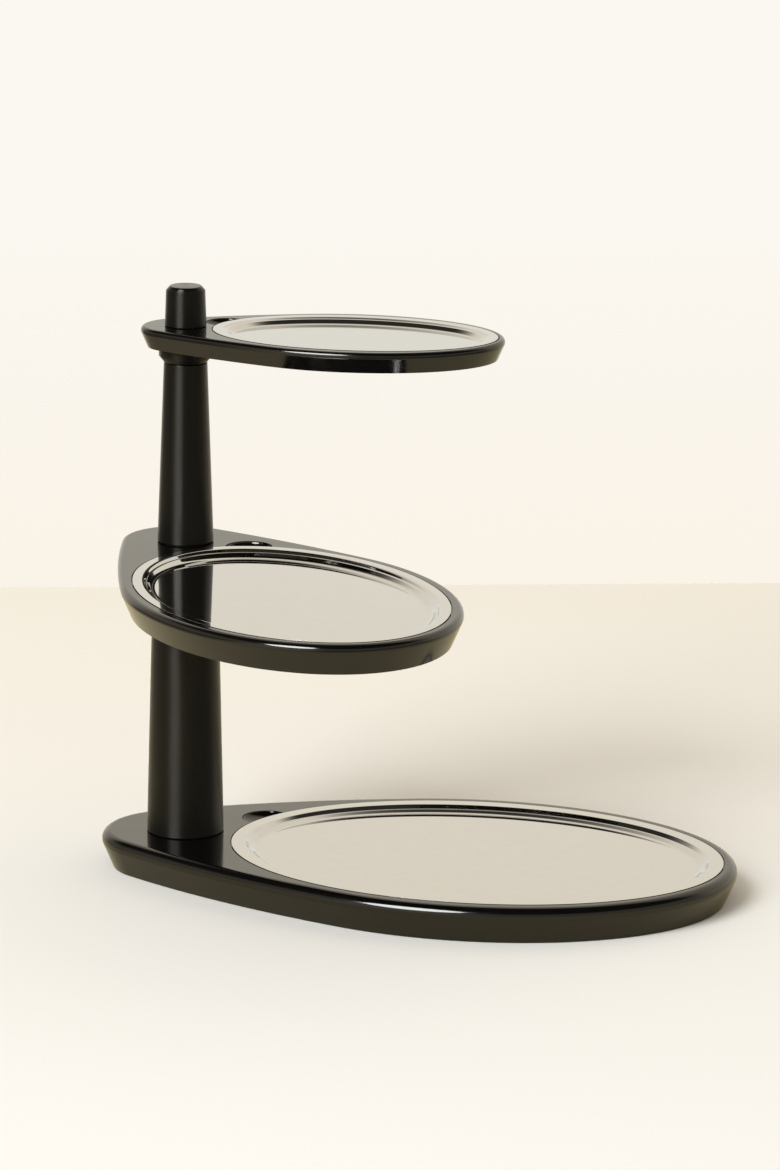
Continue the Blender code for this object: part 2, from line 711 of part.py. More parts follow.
def build_base(shelf, parent):
    """The base: shell, boss and locating ring, cover, feet, and the rod's nut and washer."""
    shell = shelf_shell(shelf, parent)
    nut_low = shelf.cover_top + SEAT_GAP * 2
    washer_low = nut_low + NUT_THICKNESS + SEAT_GAP
    boss_foot = washer_low + ROD_WASHER_THICKNESS + SEAT_GAP
    inner = LOWER_FOOT_RADIUS - LOWER_COLUMN_WALL - SEAT_GAP
    posts, pilots = post_tools(shelf, parent)
    boss = disc("base_boss", BOSS_RADIUS, boss_foot, shelf.ceiling + shelf.floor_thickness / 2,
                WASHER_STEPS, parent)
    locator = disc("base_locator", inner, shelf.deck - CUT_OVERRUN, shelf.deck + CUT_OVERRUN,
                   COLUMN_STEPS, parent)
    join(shell, boss, posts, locator, *rib_tools(shelf, BOSS_RADIUS, parent))
    cut(shell, recess_tool(shelf, parent), scoop_tool(shelf, parent), pilots,
        disc("base_rod_bore", ROD_RADIUS + SEAT_GAP, boss_foot - CUT_OVERRUN,
             shelf.deck + CUT_OVERRUN * 2, WASHER_STEPS, parent))
    plate = cover(shelf, parent)
    path = shrunk(outline(shelf), side_inset(shelf) + FOOT_INSET)
    places = [(0.0, 0.0)] + [walk(path, share) for share in FOOT_SHARES]
    for i, place in enumerate(places, 1):
        foot_pad(f"foot_{i}", place, parent)
    cut(plate, discs("foot_pockets", FOOT_RADIUS + SEAT_GAP, shelf.bottom - CUT_OVERRUN,
                     FOOT_THICKNESS + SEAT_GAP, FOOT_STEPS, places, parent))
    hex_nut("rod_nut", nut_low, parent)
    ring("rod_washer", ROD_WASHER_RADIUS, ROD_RADIUS + SEAT_GAP, washer_low,
         washer_low + ROD_WASHER_THICKNESS, WASHER_STEPS, ZINC_STEEL, parent)
    return nut_low


def build_swivel_shelf(shelf, neck_radius, parent):
    """A turning shelf: shell with its hub, cover and screws."""
    hub_radius = neck_radius + COLLAR_OVERHANG + HUB_WALL
    shell = shelf_shell(shelf, parent)
    posts, pilots = post_tools(shelf, parent)
    hub = disc(f"{shelf.name}_hub", hub_radius, shelf.bottom,
               shelf.ceiling + shelf.floor_thickness / 2, COLUMN_STEPS, parent)
    join(shell, hub, posts, *rib_tools(shelf, hub_radius, parent))
    cut(shell, recess_tool(shelf, parent), scoop_tool(shelf, parent), pilots,
        disc(f"{shelf.name}_bore", BUSH_RADIUS + SEAT_GAP, shelf.bottom - CUT_OVERRUN,
             shelf.deck + CUT_OVERRUN, WASHER_STEPS, parent))
    cover(shelf, parent, hub_radius + SEAT_GAP)


def build_stand():
    """The whole stand, from the feet up."""
    stand = empty("stand")
    base_deck = FOOT_STAND + BASE_HEIGHT
    middle_deck = base_deck + MIDDLE_DECK_RISE
    top_deck = middle_deck + TOP_DECK_RISE
    base = make_shelf(
        "base", base_deck, BASE_HEIGHT, 0.0, tray_distance=BASE_TRAY_DISTANCE,
        tray_half_length=BASE_TRAY_HALF_LENGTH, tray_half_width=BASE_TRAY_HALF_WIDTH,
        end_margin=BASE_END_MARGIN, side_margin=BASE_SIDE_MARGIN,
        nose_radius=BASE_NOSE_RADIUS, nose_setback=BASE_NOSE_SETBACK,
        side_fullness=BASE_SIDE_FULLNESS, edge_radius=BASE_EDGE_RADIUS,
        cover_thickness=BASE_COVER_THICKNESS, floor_thickness=BASE_FLOOR_THICKNESS,
        rim_width=BASE_RIM_WIDTH, wall_run=BASE_WALL_RUN, wall_drop=BASE_WALL_DROP,
        scoop_radius=BASE_SCOOP_RADIUS, scoop_offset=BASE_SCOOP_OFFSET,
        screw_shares=BASE_SCREW_SHARES)
    middle = make_shelf(
        "middle", middle_deck, MIDDLE_HEIGHT, MIDDLE_TURN, tray_distance=MIDDLE_TRAY_DISTANCE,
        tray_half_length=MIDDLE_TRAY_HALF_LENGTH, tray_half_width=MIDDLE_TRAY_HALF_WIDTH,
        end_margin=MIDDLE_END_MARGIN, side_margin=MIDDLE_SIDE_MARGIN,
        nose_radius=MIDDLE_NOSE_RADIUS, nose_setback=MIDDLE_NOSE_SETBACK,
        side_fullness=MIDDLE_SIDE_FULLNESS, edge_radius=MIDDLE_EDGE_RADIUS,
        cover_thickness=MIDDLE_COVER_THICKNESS, floor_thickness=MIDDLE_FLOOR_THICKNESS,
        rim_width=MIDDLE_RIM_WIDTH, wall_run=MIDDLE_WALL_RUN, wall_drop=MIDDLE_WALL_DROP,
        scoop_radius=MIDDLE_SCOOP_RADIUS, scoop_offset=MIDDLE_SCOOP_OFFSET,
        screw_shares=MIDDLE_SCREW_SHARES)
    top = make_shelf(
        "top", top_deck, TOP_HEIGHT, TOP_TURN, tray_distance=TOP_TRAY_DISTANCE,
        tray_half_length=TOP_TRAY_HALF_LENGTH, tray_half_width=TOP_TRAY_HALF_WIDTH,
        end_margin=TOP_END_MARGIN, side_margin=TOP_SIDE_MARGIN,
        nose_radius=TOP_NOSE_RADIUS, nose_setback=TOP_NOSE_SETBACK,
        side_fullness=TOP_SIDE_FULLNESS, edge_radius=TOP_EDGE_RADIUS,
        cover_thickness=TOP_COVER_THICKNESS, floor_thickness=TOP_FLOOR_THICKNESS,
        rim_width=TOP_RIM_WIDTH, wall_run=TOP_WALL_RUN, wall_drop=TOP_WALL_DROP,
        scoop_radius=TOP_SCOOP_RADIUS, scoop_offset=TOP_SCOOP_OFFSET,
        screw_shares=TOP_SCREW_SHARES)
    arms = {shelf.name: empty(f"{shelf.name}_arm", stand, shelf.turn)
            for shelf in (base, middle, top)}

    rod_foot = build_base(base, arms["base"])
    build_swivel_shelf(middle, LOWER_NECK_RADIUS, arms["middle"])
    build_swivel_shelf(top, UPPER_NECK_RADIUS, arms["top"])
    for shelf in (base, middle, top):
        tray(shelf, arms[shelf.name])

    lower_head = middle.bottom - SWIVEL_GAP
    upper_head = top.bottom - SWIVEL_GAP
    lower_washer = LOWER_NECK_RADIUS
    foot_washer = UPPER_FOOT_RADIUS - POCKET_WALL - SEAT_GAP
    upper_washer = UPPER_NECK_RADIUS
    knob_washer = KNOB_FOOT_RADIUS - POCKET_WALL - SEAT_GAP
    column("lower_column", base.deck + SEAT_GAP, LOWER_FOOT_RADIUS, lower_head,
           LOWER_NECK_RADIUS, LOWER_COLUMN_WALL, 0.0, stand)
    collar("lower_collar", lower_head, LOWER_NECK_RADIUS, lower_washer, stand)
    swivel_stack(middle, lower_washer, foot_washer, stand)
    column("upper_column", middle.deck + SWIVEL_GAP, UPPER_FOOT_RADIUS, upper_head,
           UPPER_NECK_RADIUS, UPPER_COLUMN_WALL, foot_washer + SEAT_GAP, stand)
    collar("upper_collar", upper_head, UPPER_NECK_RADIUS, upper_washer, stand)
    swivel_stack(top, upper_washer, knob_washer, stand)
    rod_top = knob(top.deck, knob_washer, stand)
    rod_profile = [(0.0, rod_top), (ROD_RADIUS, rod_top), (ROD_RADIUS, rod_foot),
                   (0.0, rod_foot)]
    turned("tie_rod", rod_profile, WASHER_STEPS, ZINC_STEEL, stand)


def shade_round(item):
    """Fix a part's modifiers into its mesh, and shade its round faces smooth."""
    graph = bpy.context.evaluated_depsgraph_get()
    mesh = bpy.data.meshes.new_from_object(item.evaluated_get(graph))
    item.modifiers.clear()
    item.data = mesh
    mesh.name = item.name
    mesh.shade_smooth()
    mesh.set_sharp_from_angle(angle=SHARP_ANGLE)


build_stand()
for part in PARTS.objects:
    if part.type == "MESH":
        shade_round(part)
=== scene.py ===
# %% [markdown]
# # A three-tier swivel serving stand
# The real object is a food stand: three teardrop shelves of glossy black plastic, one above the
# other on a satin black column, each with a lift-out oval tray of polished stainless steel. This
# lesson dresses a finished engineering model of it. That model, the frame, fixes every size and
# joint. What it lacks is what the eye sees: smooth edges, pressed bends, gloss and grain. We
# build those as new pieces in the same place, and hide the plain ones.

import bmesh
import bpy
import json
from math import cos, hypot, pi, radians, sin, tan
from mathutils import Matrix, Vector
from types import SimpleNamespace


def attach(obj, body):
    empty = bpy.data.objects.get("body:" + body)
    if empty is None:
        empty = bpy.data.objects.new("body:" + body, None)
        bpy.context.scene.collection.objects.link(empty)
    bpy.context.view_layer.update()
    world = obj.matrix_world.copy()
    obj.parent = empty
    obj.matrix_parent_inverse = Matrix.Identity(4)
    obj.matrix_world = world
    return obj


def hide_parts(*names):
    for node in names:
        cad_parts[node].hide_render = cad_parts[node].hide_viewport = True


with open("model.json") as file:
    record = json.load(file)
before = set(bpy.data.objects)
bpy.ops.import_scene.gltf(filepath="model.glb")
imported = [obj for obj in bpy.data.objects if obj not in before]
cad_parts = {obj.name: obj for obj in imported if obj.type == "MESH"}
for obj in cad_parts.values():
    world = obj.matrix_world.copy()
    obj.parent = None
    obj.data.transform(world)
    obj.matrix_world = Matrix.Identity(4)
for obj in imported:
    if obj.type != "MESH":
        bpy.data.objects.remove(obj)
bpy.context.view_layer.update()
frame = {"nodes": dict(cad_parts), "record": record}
bodies = frame["record"]["behaviour"]["bodies"]
print("bodies:", {body: len(names) for body, names in bodies.items()})

# %% [markdown]
# ## The camera
# The photograph was taken from about 3.6 m away with a long lens, from a little above, so the
# shelves look almost level and hardly shrink towards the back. A Blender camera looks along its
# own -Z, so we build its axes from a heading, a downward tilt and a slight roll.

# %% Place the camera
HEADING = radians(13.13)
TILT = radians(13.83)
ROLL = radians(0.55)
CAMERA_PLACE = (0.9063, -3.3068, 1.0321)
LENS_MM = 168.9


def along(left_right, away, up=0.0):
    """A direction or point as the camera sees the table: to the right, away from it, and up."""
    return Vector((left_right * cos(HEADING) - away * sin(HEADING),
                   left_right * sin(HEADING) + away * cos(HEADING), up))


lens = bpy.data.cameras.new("photo_lens")
lens.sensor_width = 36.0
lens.lens = LENS_MM
lens.clip_start, lens.clip_end = 0.1, 100.0
camera = bpy.data.objects.new("photo_camera", lens)
bpy.context.scene.collection.objects.link(camera)
bpy.context.scene.camera = camera
forward = along(0.0, cos(TILT), -sin(TILT))
level_right = along(1.0, 0.0)
level_up = level_right.cross(forward)
right = level_right * cos(ROLL) + level_up * sin(ROLL)
up = level_up * cos(ROLL) - level_right * sin(ROLL)
axes = Matrix((right, up, -forward)).transposed().to_4x4()
camera.matrix_world = Matrix.Translation(CAMERA_PLACE) @ axes
print("camera to column, m:", round(Vector(CAMERA_PLACE).length, 3))

# %% [markdown]
# ## Sizes
# All lengths are in metres, as everywhere in the frame. A tier is one shelf with its tray. The
# numbers describe a designer's drawing: an oval big end, a round nose about the column, full
# sides between them, and the section of the pressed tray as runs and drops. Each tier follows
# the same rule, so one function per piece serves all three.

# %% Describe the three tiers
SIDE_LEAN = radians(23.3)
LAND, LIP, LEDGE, SEAT = 0.0004, 0.0016, 0.0020, 0.0003
SWIVEL = 0.0005
SHEET, RIM_PROUD = 0.0008, 0.0002


SIZES = {  # each of them for the base, the middle and the top
    "name": ("base", "middle", "top"), "body": ("stand", "middle_tier", "top_tier"),
    "deck": (0.0240, 0.2167, 0.3573), "height": (0.0237, 0.0195, 0.0134),
    "turn": (0.0, radians(-49.8), radians(2.8)), "distance": (0.1935, 0.1537, 0.1097),
    "tray_a": (0.1598, 0.1298, 0.0912), "tray_b": (0.1130, 0.0893, 0.0565),
    "end_margin": (0.0088, 0.0070, 0.0043), "side_margin": (0.0106, 0.0083, 0.0075),
    "nose": (0.0483, 0.0377, 0.0255), "setback": (0.0060, 0.0074, 0.0030),
    "fullness": (radians(7.5), radians(4.0), radians(4.6)), "edge": (0.0058, 0.0036, 0.0027),
    "cover": (0.0025, 0.0020, 0.0016), "floor": (0.0025, 0.0025, 0.0020),
    "rim": (0.0090, 0.0066, 0.0058), "dish_depth": (0.0043, 0.0051, 0.0037),
    "step": ((0.0022, 0.0024), (0.0016, 0.0020), (0.0020, 0.0010)),
    "ledge": ((0.0010, 0.0001), (0.0008, 0.0001), (0.0010, 0.0001)),
    "wall": (0.0036, 0.0031, 0.0036),
    "bends": ((0.0011, 0.0010, 0.0010, 0.0065), (0.0024, 0.0009, 0.0009, 0.0050),
              (0.0022, 0.0006, 0.0006, 0.0040)),
    "scoop": (0.0160, 0.0150, 0.0130), "scoop_offset": (0.0400, 0.0300, 0.0170),
    "screws": ((0.0, 0.24, 0.42, 0.58, 0.76), (0.11, 0.34, 0.66, 0.89), (0.0, 0.30, 0.70))}


def tier(sizes):
    """One shelf and its tray, with the levels that follow from its sizes."""
    t = SimpleNamespace(**dict(zip(SIZES, sizes)))
    t.bottom = t.deck - t.height
    t.rim_top = t.deck + RIM_PROUD
    t.rebate = t.rim_top - SHEET - SEAT
    t.well = t.rebate - t.dish_depth
    t.ceiling = t.well - t.floor
    t.half_length, t.half_width = t.tray_a + t.end_margin, t.tray_b + t.side_margin
    t.side_drop = t.height - t.edge * (1 + sin(SIDE_LEAN)) - LAND
    t.foot_inset = t.edge * (1 - cos(SIDE_LEAN)) + t.side_drop * tan(SIDE_LEAN)
    return t


TIERS = BASE, MIDDLE, TOP = [tier(sizes) for sizes in zip(*SIZES.values())]
for t in TIERS:
    print(t.name, "deck at", round(t.deck * 1000, 1), "mm, shelf length",
          round((t.distance + t.half_length + t.nose + t.setback) * 1000), "mm")

# %% [markdown]
# ## Nodes for finishes
# Every finish is a small node tree. One helper turns a designer's hex colour into the linear
# values that a shader wants. Another adds a node, sets it and plugs in what feeds it: a plain
# value is set, and a socket or another node becomes a link.

# %% Helpers for node trees
def linear(code):
    """An sRGB hex colour as linear red, green, blue and a full alpha."""
    parts = [int(code[i:i + 2], 16) / 255 for i in (1, 3, 5)]
    return (*[p / 12.92 if p <= 0.04045 else ((p + 0.055) / 1.055) ** 2.4 for p in parts], 1.0)


def feed(tree, node, inputs):
    """Set or link a node's inputs; another node gives its first output in use."""
    for key, value in inputs.items():
        for source in value if isinstance(value, list) else [value]:
            if isinstance(source, bpy.types.Node):
                source = next(socket for socket in source.outputs if socket.enabled)
            if isinstance(source, bpy.types.NodeSocket):
                tree.links.new(source, node.inputs[key])
            else:
                node.inputs[key].default_value = source


def add(tree, kind, inputs=None, **settings):
    """Add a node: settings are its own properties, inputs are what feeds it."""
    made = tree.nodes.new(kind)
    for name, value in settings.items():
        setattr(made, name, value)
    feed(tree, made, inputs or {})
    return made


def start_finish(name):
    """A new material with its shader and the object's own coordinates, in metres."""
    finish = bpy.data.materials.new(name)
    finish.use_nodes = True
    tree = finish.node_tree
    shader = tree.nodes["Principled BSDF"]
    place = add(tree, "ShaderNodeTexCoord").outputs["Object"]
    return finish, tree, shader, place


print("white as linear:", [round(v, 3) for v in linear("#FFFFFF")])

# %% [markdown]
# ## One rule for all finishes
# Nothing real is quite even. Each finish has patterns with a real size in metres, and lets its
# colour, roughness and height wander with them. One function makes them all, and each finish
# only says which pattern drives what.

# %% Write the rule
def make_finish(name, patterns, colours, roughness, bumps, own):
    """patterns: name to size, detail, blend and any stretch; own: the shader's fixed values."""
    finish, tree, shader, place = start_finish(name)
    noise = {}
    for label, (size, detail, blend, *stretch) in patterns.items():
        spot = place
        if stretch:
            spot = add(tree, "ShaderNodeMapping", {"Vector": place, "Scale": stretch[0]})
        noise[label] = add(tree, "ShaderNodeTexNoise", {
            "Vector": spot, "Scale": 1 / size, "Detail": detail, "Roughness": blend})
    label, dark, light = colours
    shade = add(tree, "ShaderNodeMix", {0: noise[label], 6: linear(dark), 7: linear(light)},
                data_type="RGBA")
    label, start, end, low, high = roughness
    rough = add(tree, "ShaderNodeMapRange", {
        "Value": noise[label], "From Min": start, "From Max": end, "To Min": low,
        "To Max": high})
    lean = {}
    for label, depth in bumps:
        lean = {"Normal": add(tree, "ShaderNodeBump", {
            "Height": noise[label], "Strength": 1.0, "Distance": depth, **lean})}
    feed(tree, shader, {"Base Color": shade, "Roughness": rough, **lean, **own})
    print("made", name, "with", len(tree.nodes), "nodes")
    return finish


# %% [markdown]
# ## Polished black ABS
# The shelves are moulded in ABS, a hard plastic. A mirror-polished tool gives a wet-looking
# black, but the plastic shrinks as it cools, so its surface keeps slow waves a couple of
# centimetres long and a faint skin of about a millimetre. Nearly all that we see is reflection,
# so we set the IOR of ABS, a low roughness and two soft bumps at those sizes.

# %% Make the gloss finish
ABS_IOR = 1.53
GLOSS_ABS = make_finish(
    "polished_black_abs",
    {"sink": (0.028, 1.0, 0.5), "skin": (0.0016, 2.0, 0.5), "smear": (0.011, 4.0, 0.6)},
    colours=("smear", "#050505", "#090807"), roughness=("smear", 0.35, 0.75, 0.09, 0.13),
    bumps=[("sink", 0.00010), ("skin", 0.0000012)],
    own={"IOR": ABS_IOR, "Specular Tint": linear("#FFFBF2")})

# %% [markdown]
# ## Satin black ABS
# The column, its collars, the knob and the plates underneath are satin. Their tools were turned
# and then spark-eroded, which leaves a fine grain and faint rings round the column. Rings spread
# a highlight along the column but hardly across it, into one narrow upright band: that is
# anisotropy, with a tangent that runs round the axis. Real grain is about 0.1 mm, too fine for
# this picture, so it is drawn at 0.9 mm. The knob's crown is polished, so a surface that looks
# up is smoother.

# %% Make the satin finish
SATIN_ABS = make_finish(
    "spark_grained_black_abs",
    {"grain": (0.0009, 3.0, 0.7), "wear": (0.014, 3.0, 0.5)},
    colours=("grain", "#060605", "#0E0D0B"), roughness=("wear", 0.3, 0.7, 0.33, 0.39),
    bumps=[("grain", 0.000020)],
    own={"IOR": ABS_IOR, "Specular IOR Level": 0.25, "Specular Tint": linear("#FFF8E8"),
         "Anisotropic": 0.92, "Anisotropic Rotation": 0.25})


def turn_and_polish(finish):
    """Run the grain round the axis, and smooth it where the surface looks up."""
    tree = finish.node_tree
    shader = tree.nodes["Principled BSDF"]
    grained = shader.inputs["Roughness"].links[0].from_socket
    out = add(tree, "ShaderNodeNewGeometry").outputs["Normal"]
    upwards = add(tree, "ShaderNodeSeparateXYZ", {0: out}).outputs["Z"]
    crown = add(tree, "ShaderNodeMapRange", {
        "Value": upwards, "From Min": 0.45, "From Max": 0.58, "To Min": grained, "To Max": 0.15})
    around = add(tree, "ShaderNodeTangent", direction_type="RADIAL", axis="Z")
    feed(tree, shader, {"Roughness": crown, "Tangent": around})


turn_and_polish(SATIN_ABS)

# %% [markdown]
# ## Polished stainless steel
# The trays are pressed from stainless sheet and buffed to a near mirror, with very fine lines
# along the polishing direction. The sheet is never dead flat: over a few centimetres it has a
# slight swell. The lines, really hundredths of a millimetre wide, are drawn at 0.4 mm and
# stretched along the tray. A metal keeps the default IOR, and its colour tints reflections.

# %% Make the steel finish
STAINLESS = make_finish(
    "buffed_stainless_sheet",
    {"lines": (0.0004, 2.0, 0.5, (0.02, 1.0, 1.0)), "swell": (0.045, 1.0, 0.5),
     "cloud": (0.009, 4.0, 0.5)},
    colours=("cloud", "#CACACB", "#D0D0D0"), roughness=("cloud", 0.3, 0.75, 0.022, 0.050),
    bumps=[("swell", 0.00003), ("lines", 0.0000008)], own={"Metallic": 1.0})

# %% [markdown]
# ## Small finishes
# The fastenings inside and underneath show only when the stand is lifted or turned over, so each
# needs one pattern only: zinc plate has a dull bloom of a few millimetres, turned brass has fine
# tool marks, nylon is waxy, and rubber is matt with a pebbled skin.

# %% Make the small finishes
def mottled(name, dark, light, size, low, high, depth, metal=0.0, detail=2.0):
    """A finish that wanders between two colours and two roughnesses over one real size."""
    return make_finish(name, {"patch": (size, detail, 0.5)}, ("patch", dark, light),
                       ("patch", 0.3, 0.7, low, high), [("patch", depth)],
                       {"Metallic": metal})


ZINC = mottled("zinc_plated_steel", "#B4B6B6", "#D2D2CE", 0.0030, 0.25, 0.42, 0.00001, 1.0)
BRASS = mottled("turned_brass", "#B08A45", "#D3B067", 0.0008, 0.22, 0.34, 0.000004, 1.0)
NYLON = mottled("natural_nylon", "#D9D5C4", "#ECE9DB", 0.0050, 0.40, 0.50, 0.00002)
RUBBER = mottled("black_rubber", "#141414", "#222120", 0.0007, 0.65, 0.85, 0.00006, 0.0, 3.0)

# %% [markdown]
# ## The teardrop outline
# Seen from above, a shelf is an oval at the tray's end and a part circle about the column, with
# slightly bowed sides between them. Every other line of the moulding is this outline moved
# inwards, so each point needs its normal, the direction straight out of the edge. So we step
# round by the angle of that normal.

# %% Work out the outline and its normals
BIG_STEPS, SIDE_STEPS, NOSE_STEPS = 84, 30, 44
SIDE_PULL = 0.67


def compass(angle):
    """The level direction with this angle."""
    return Vector((cos(angle), sin(angle)))


def oval_point(t, angle):
    """Where the oval end's outward normal has this angle."""
    reach = hypot(t.half_length * cos(angle), t.half_width * sin(angle))
    return Vector((t.distance + t.half_length ** 2 * cos(angle) / reach,
                   t.half_width ** 2 * sin(angle) / reach))


def nose_point(t, angle):
    """Where the round nose's outward normal has this angle."""
    return Vector((t.nose * cos(angle) - t.setback, t.nose * sin(angle)))


def shared_tangent(t):
    """The normal's angle of the straight line that touches both ends, by halving."""
    low, high = pi / 2, pi
    for _ in range(50):
        angle = (low + high) / 2
        reach = hypot(t.half_length * cos(angle), t.half_width * sin(angle))
        if t.distance * cos(angle) + reach > t.nose - t.setback * cos(angle):
            low = angle
        else:
            high = angle
    return low


def side_curve(t, leave, meet):
    """The bowed side as points with normals: a cubic curve that leaves both ends smoothly."""
    start, end = oval_point(t, leave), nose_point(t, meet)
    a = start.x * cos(leave) + start.y * sin(leave)
    b = end.x * cos(meet) + end.y * sin(meet)
    spread = sin(meet - leave)
    corner = Vector(((a * sin(meet) - b * sin(leave)) / spread,
                     (b * cos(leave) - a * cos(meet)) / spread))
    p, q, r, s = start, start.lerp(corner, SIDE_PULL), end.lerp(corner, SIDE_PULL), end
    for i in range(1, SIDE_STEPS):
        u = i / SIDE_STEPS
        v = 1 - u
        point = p * v ** 3 + q * 3 * v * v * u + r * 3 * v * u * u + s * u ** 3
        run = (q - p) * v * v + (r - q) * 2 * v * u + (s - r) * u * u
        yield point, Vector((run.y, -run.x)).normalized()


def outline(t):
    """The widest line of a shelf: (point, outward normal) all the way round."""
    lean = shared_tangent(t)
    leave, meet = lean - t.fullness, lean + t.fullness
    angles = [leave * i / BIG_STEPS for i in range(BIG_STEPS + 1)]
    half = [(oval_point(t, angle), compass(angle)) for angle in angles]
    half += side_curve(t, leave, meet)
    angles = [meet + (pi - meet) * i / NOSE_STEPS for i in range(NOSE_STEPS + 1)]
    half += [(nose_point(t, angle), compass(angle)) for angle in angles]
    mirrored = [(Vector((p.x, -p.y)), Vector((n.x, -n.y))) for p, n in reversed(half[1:-1])]
    return half + mirrored


for t in TIERS:
    t.outline = outline(t)
    turned_the_right_way = all(n.dot(p - Vector((t.distance / 2, 0))) > 0 for p, n in t.outline)
    print(t.name, len(t.outline), "points, normals outwards:", turned_the_right_way)

# %% [markdown]
# ## Rings into solids
# Most of this object is rings: the outline at ever new levels, or a circle about the column's
# axis. One helper joins rings into a closed skin, caps both ends, merges doubled points and
# turns all faces outwards, so the solid is sound before any cut.

# %% Helpers for ringed solids
DOUBLED = 0.000002


def keep_mesh(bm, name):
    """Store what was modelled as a mesh."""
    mesh = bpy.data.meshes.new(name)
    bm.to_mesh(mesh)
    bm.free()
    return mesh


def ringed(name, rings, capped=True):
    """A mesh through rings of equal counts; the ends are capped, or joined to each other."""
    bm = bmesh.new()
    loops = [[bm.verts.new(point) for point in ring] for ring in rings]
    pairs = list(zip(loops, loops[1:])) + ([] if capped else [(loops[-1], loops[0])])
    for low, high in pairs:
        for i in range(len(low)):
            j = (i + 1) % len(low)
            bm.faces.new((low[i], low[j], high[j], high[i]))
    if capped:
        bm.faces.new(reversed(loops[0]))
        bm.faces.new(loops[-1])
    bmesh.ops.remove_doubles(bm, verts=bm.verts, dist=DOUBLED)
    bmesh.ops.recalc_face_normals(bm, faces=bm.faces)
    return keep_mesh(bm, name)


def as_object(name, mesh, finish=None):
    """Put a mesh or lamp in the scene, with a finish if it is a piece and not a cutter."""
    item = bpy.data.objects.new(name, mesh)
    bpy.context.scene.collection.objects.link(item)
    if finish:
        mesh.materials.clear()
        mesh.materials.append(finish)
    return item


def settle(item):
    """Turn an object's modifiers into its plain mesh, and take them off."""
    graph = bpy.context.evaluated_depsgraph_get()
    graph.update()
    mesh = bpy.data.meshes.new_from_object(item.evaluated_get(graph))
    item.modifiers.clear()
    item.data = mesh
    mesh.name = item.name
    return item


def cut(item, tools):
    """Cut tools out of an object, then remove them."""
    for tool in tools:
        change = item.modifiers.new(tool.name, "BOOLEAN")
        change.operation, change.object, change.solver = "DIFFERENCE", tool, "EXACT"
    settle(item)
    for tool in tools:
        bpy.data.objects.remove(tool)


print("ring helpers ready")

# %% [markdown]
# ## Soft edges
# No moulded or pressed edge is a true corner: the tool leaves a small radius, which catches a
# thin line of light. A Bevel modifier rounds every edge that turns sharply. Smooth shading
# would then bend the light across the big flats too, so a Weighted Normal modifier keeps the
# large faces' own direction.

# %% Complete a piece
SHARP = radians(44.0)  # edges that turn more than this stay sharp in the shading


def complete(piece, nodes, body, width, turn=0.0, corner=50.0, steps=3):
    bevel = piece.modifiers.new("tool_radius", "BEVEL")
    bevel.width, bevel.segments = width, steps
    bevel.limit_method, bevel.angle_limit = "ANGLE", radians(corner)
    bevel.use_clamp_overlap = True
    settle(piece)
    piece.data.shade_smooth()
    piece.data.set_sharp_from_angle(angle=SHARP)
    flat = piece.modifiers.new("keep_flats_flat", "WEIGHTED_NORMAL")
    flat.keep_sharp = True
    settle(piece)
    piece.data.transform(Matrix.Rotation(turn, 4, "Z"))
    if nodes:
        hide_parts(*nodes)
    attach(piece, body)
    triangles = sum(len(face.vertices) - 2 for face in piece.data.polygons)
    size = [round(length * 1000, 1) for length in piece.dimensions]
    print(piece.name, "is", size, "mm with", triangles, "triangles")


print("ready to complete pieces")

# %% [markdown]
# ## The shelf mouldings
# Each shelf is one hollow moulding. From the deck its top edge rounds over, the side leans in
# towards the foot so that the part leaves its tool, and a narrow lip runs round underneath. We
# stack rings for this skin. Then we cut a stepped oval pocket for the tray, and beside the arm a
# scoop where a finger gets under its rim. A narrow moat round the rim's seat makes the seam
# about each tray deep enough to look dark.

# %% Rings and cutters of a shelf
EDGE_STEPS, LEAN_STEPS = 12, 3
RIM_GAP, WELL_GAP, MOAT_UNDER, MOAT_DEPTH = 0.0009, 0.0010, 0.0006, 0.0016
PAST = 0.002  # how far a cutter runs on past the face that it opens
DEEPEST_SCOOP = 0.0070


def moved(t, inset, level):
    """The outline moved inwards, at a level."""
    return [(p.x - n.x * inset, p.y - n.y * inset, level) for p, n in t.outline]


def shelf_rings(t):
    """From inside the hollow, round the lip, up the side and over the edge to the deck."""
    widest = t.deck - t.edge
    ledge = t.bottom + t.cover + SEAT
    inner = t.foot_inset + LIP
    rings = [moved(t, inner + LEDGE, t.ceiling), moved(t, inner + LEDGE, ledge),
             moved(t, inner, ledge), moved(t, inner, t.bottom), moved(t, t.foot_inset, t.bottom)]
    for i in range(LEAN_STEPS, -1, -1):
        a = SIDE_LEAN * i / LEAN_STEPS
        rings.append(moved(t, t.edge * (1 - cos(a)), widest - LAND - t.edge * sin(a)))
    for i in range(EDGE_STEPS + 1):
        a = pi / 2 * i / EDGE_STEPS
        rings.append(moved(t, t.edge * (1 - cos(a)), widest + t.edge * sin(a)))
    return rings


def tray_oval(t, growth, level, steps=240):
    """The tray's own edge, moved outwards by a growth, at a level."""
    for i in range(steps):
        a = 2 * pi * i / steps
        reach = hypot(t.tray_a * cos(a), t.tray_b * sin(a))
        yield (t.distance + (t.tray_a ** 2 / reach + growth) * cos(a),
               (t.tray_b ** 2 / reach + growth) * sin(a), level)


def pocket_tool(t):
    """What the tray's pocket takes out: the well, a seat for the rim and a moat round it."""
    narrow, moat = WELL_GAP - t.rim, t.rebate - MOAT_DEPTH
    rings = [tray_oval(t, narrow, t.well), tray_oval(t, narrow, t.rebate),
             tray_oval(t, -MOAT_UNDER, t.rebate), tray_oval(t, -MOAT_UNDER, moat),
             tray_oval(t, RIM_GAP, moat), tray_oval(t, RIM_GAP, t.deck + PAST)]
    return as_object("pocket", ringed("pocket", rings))


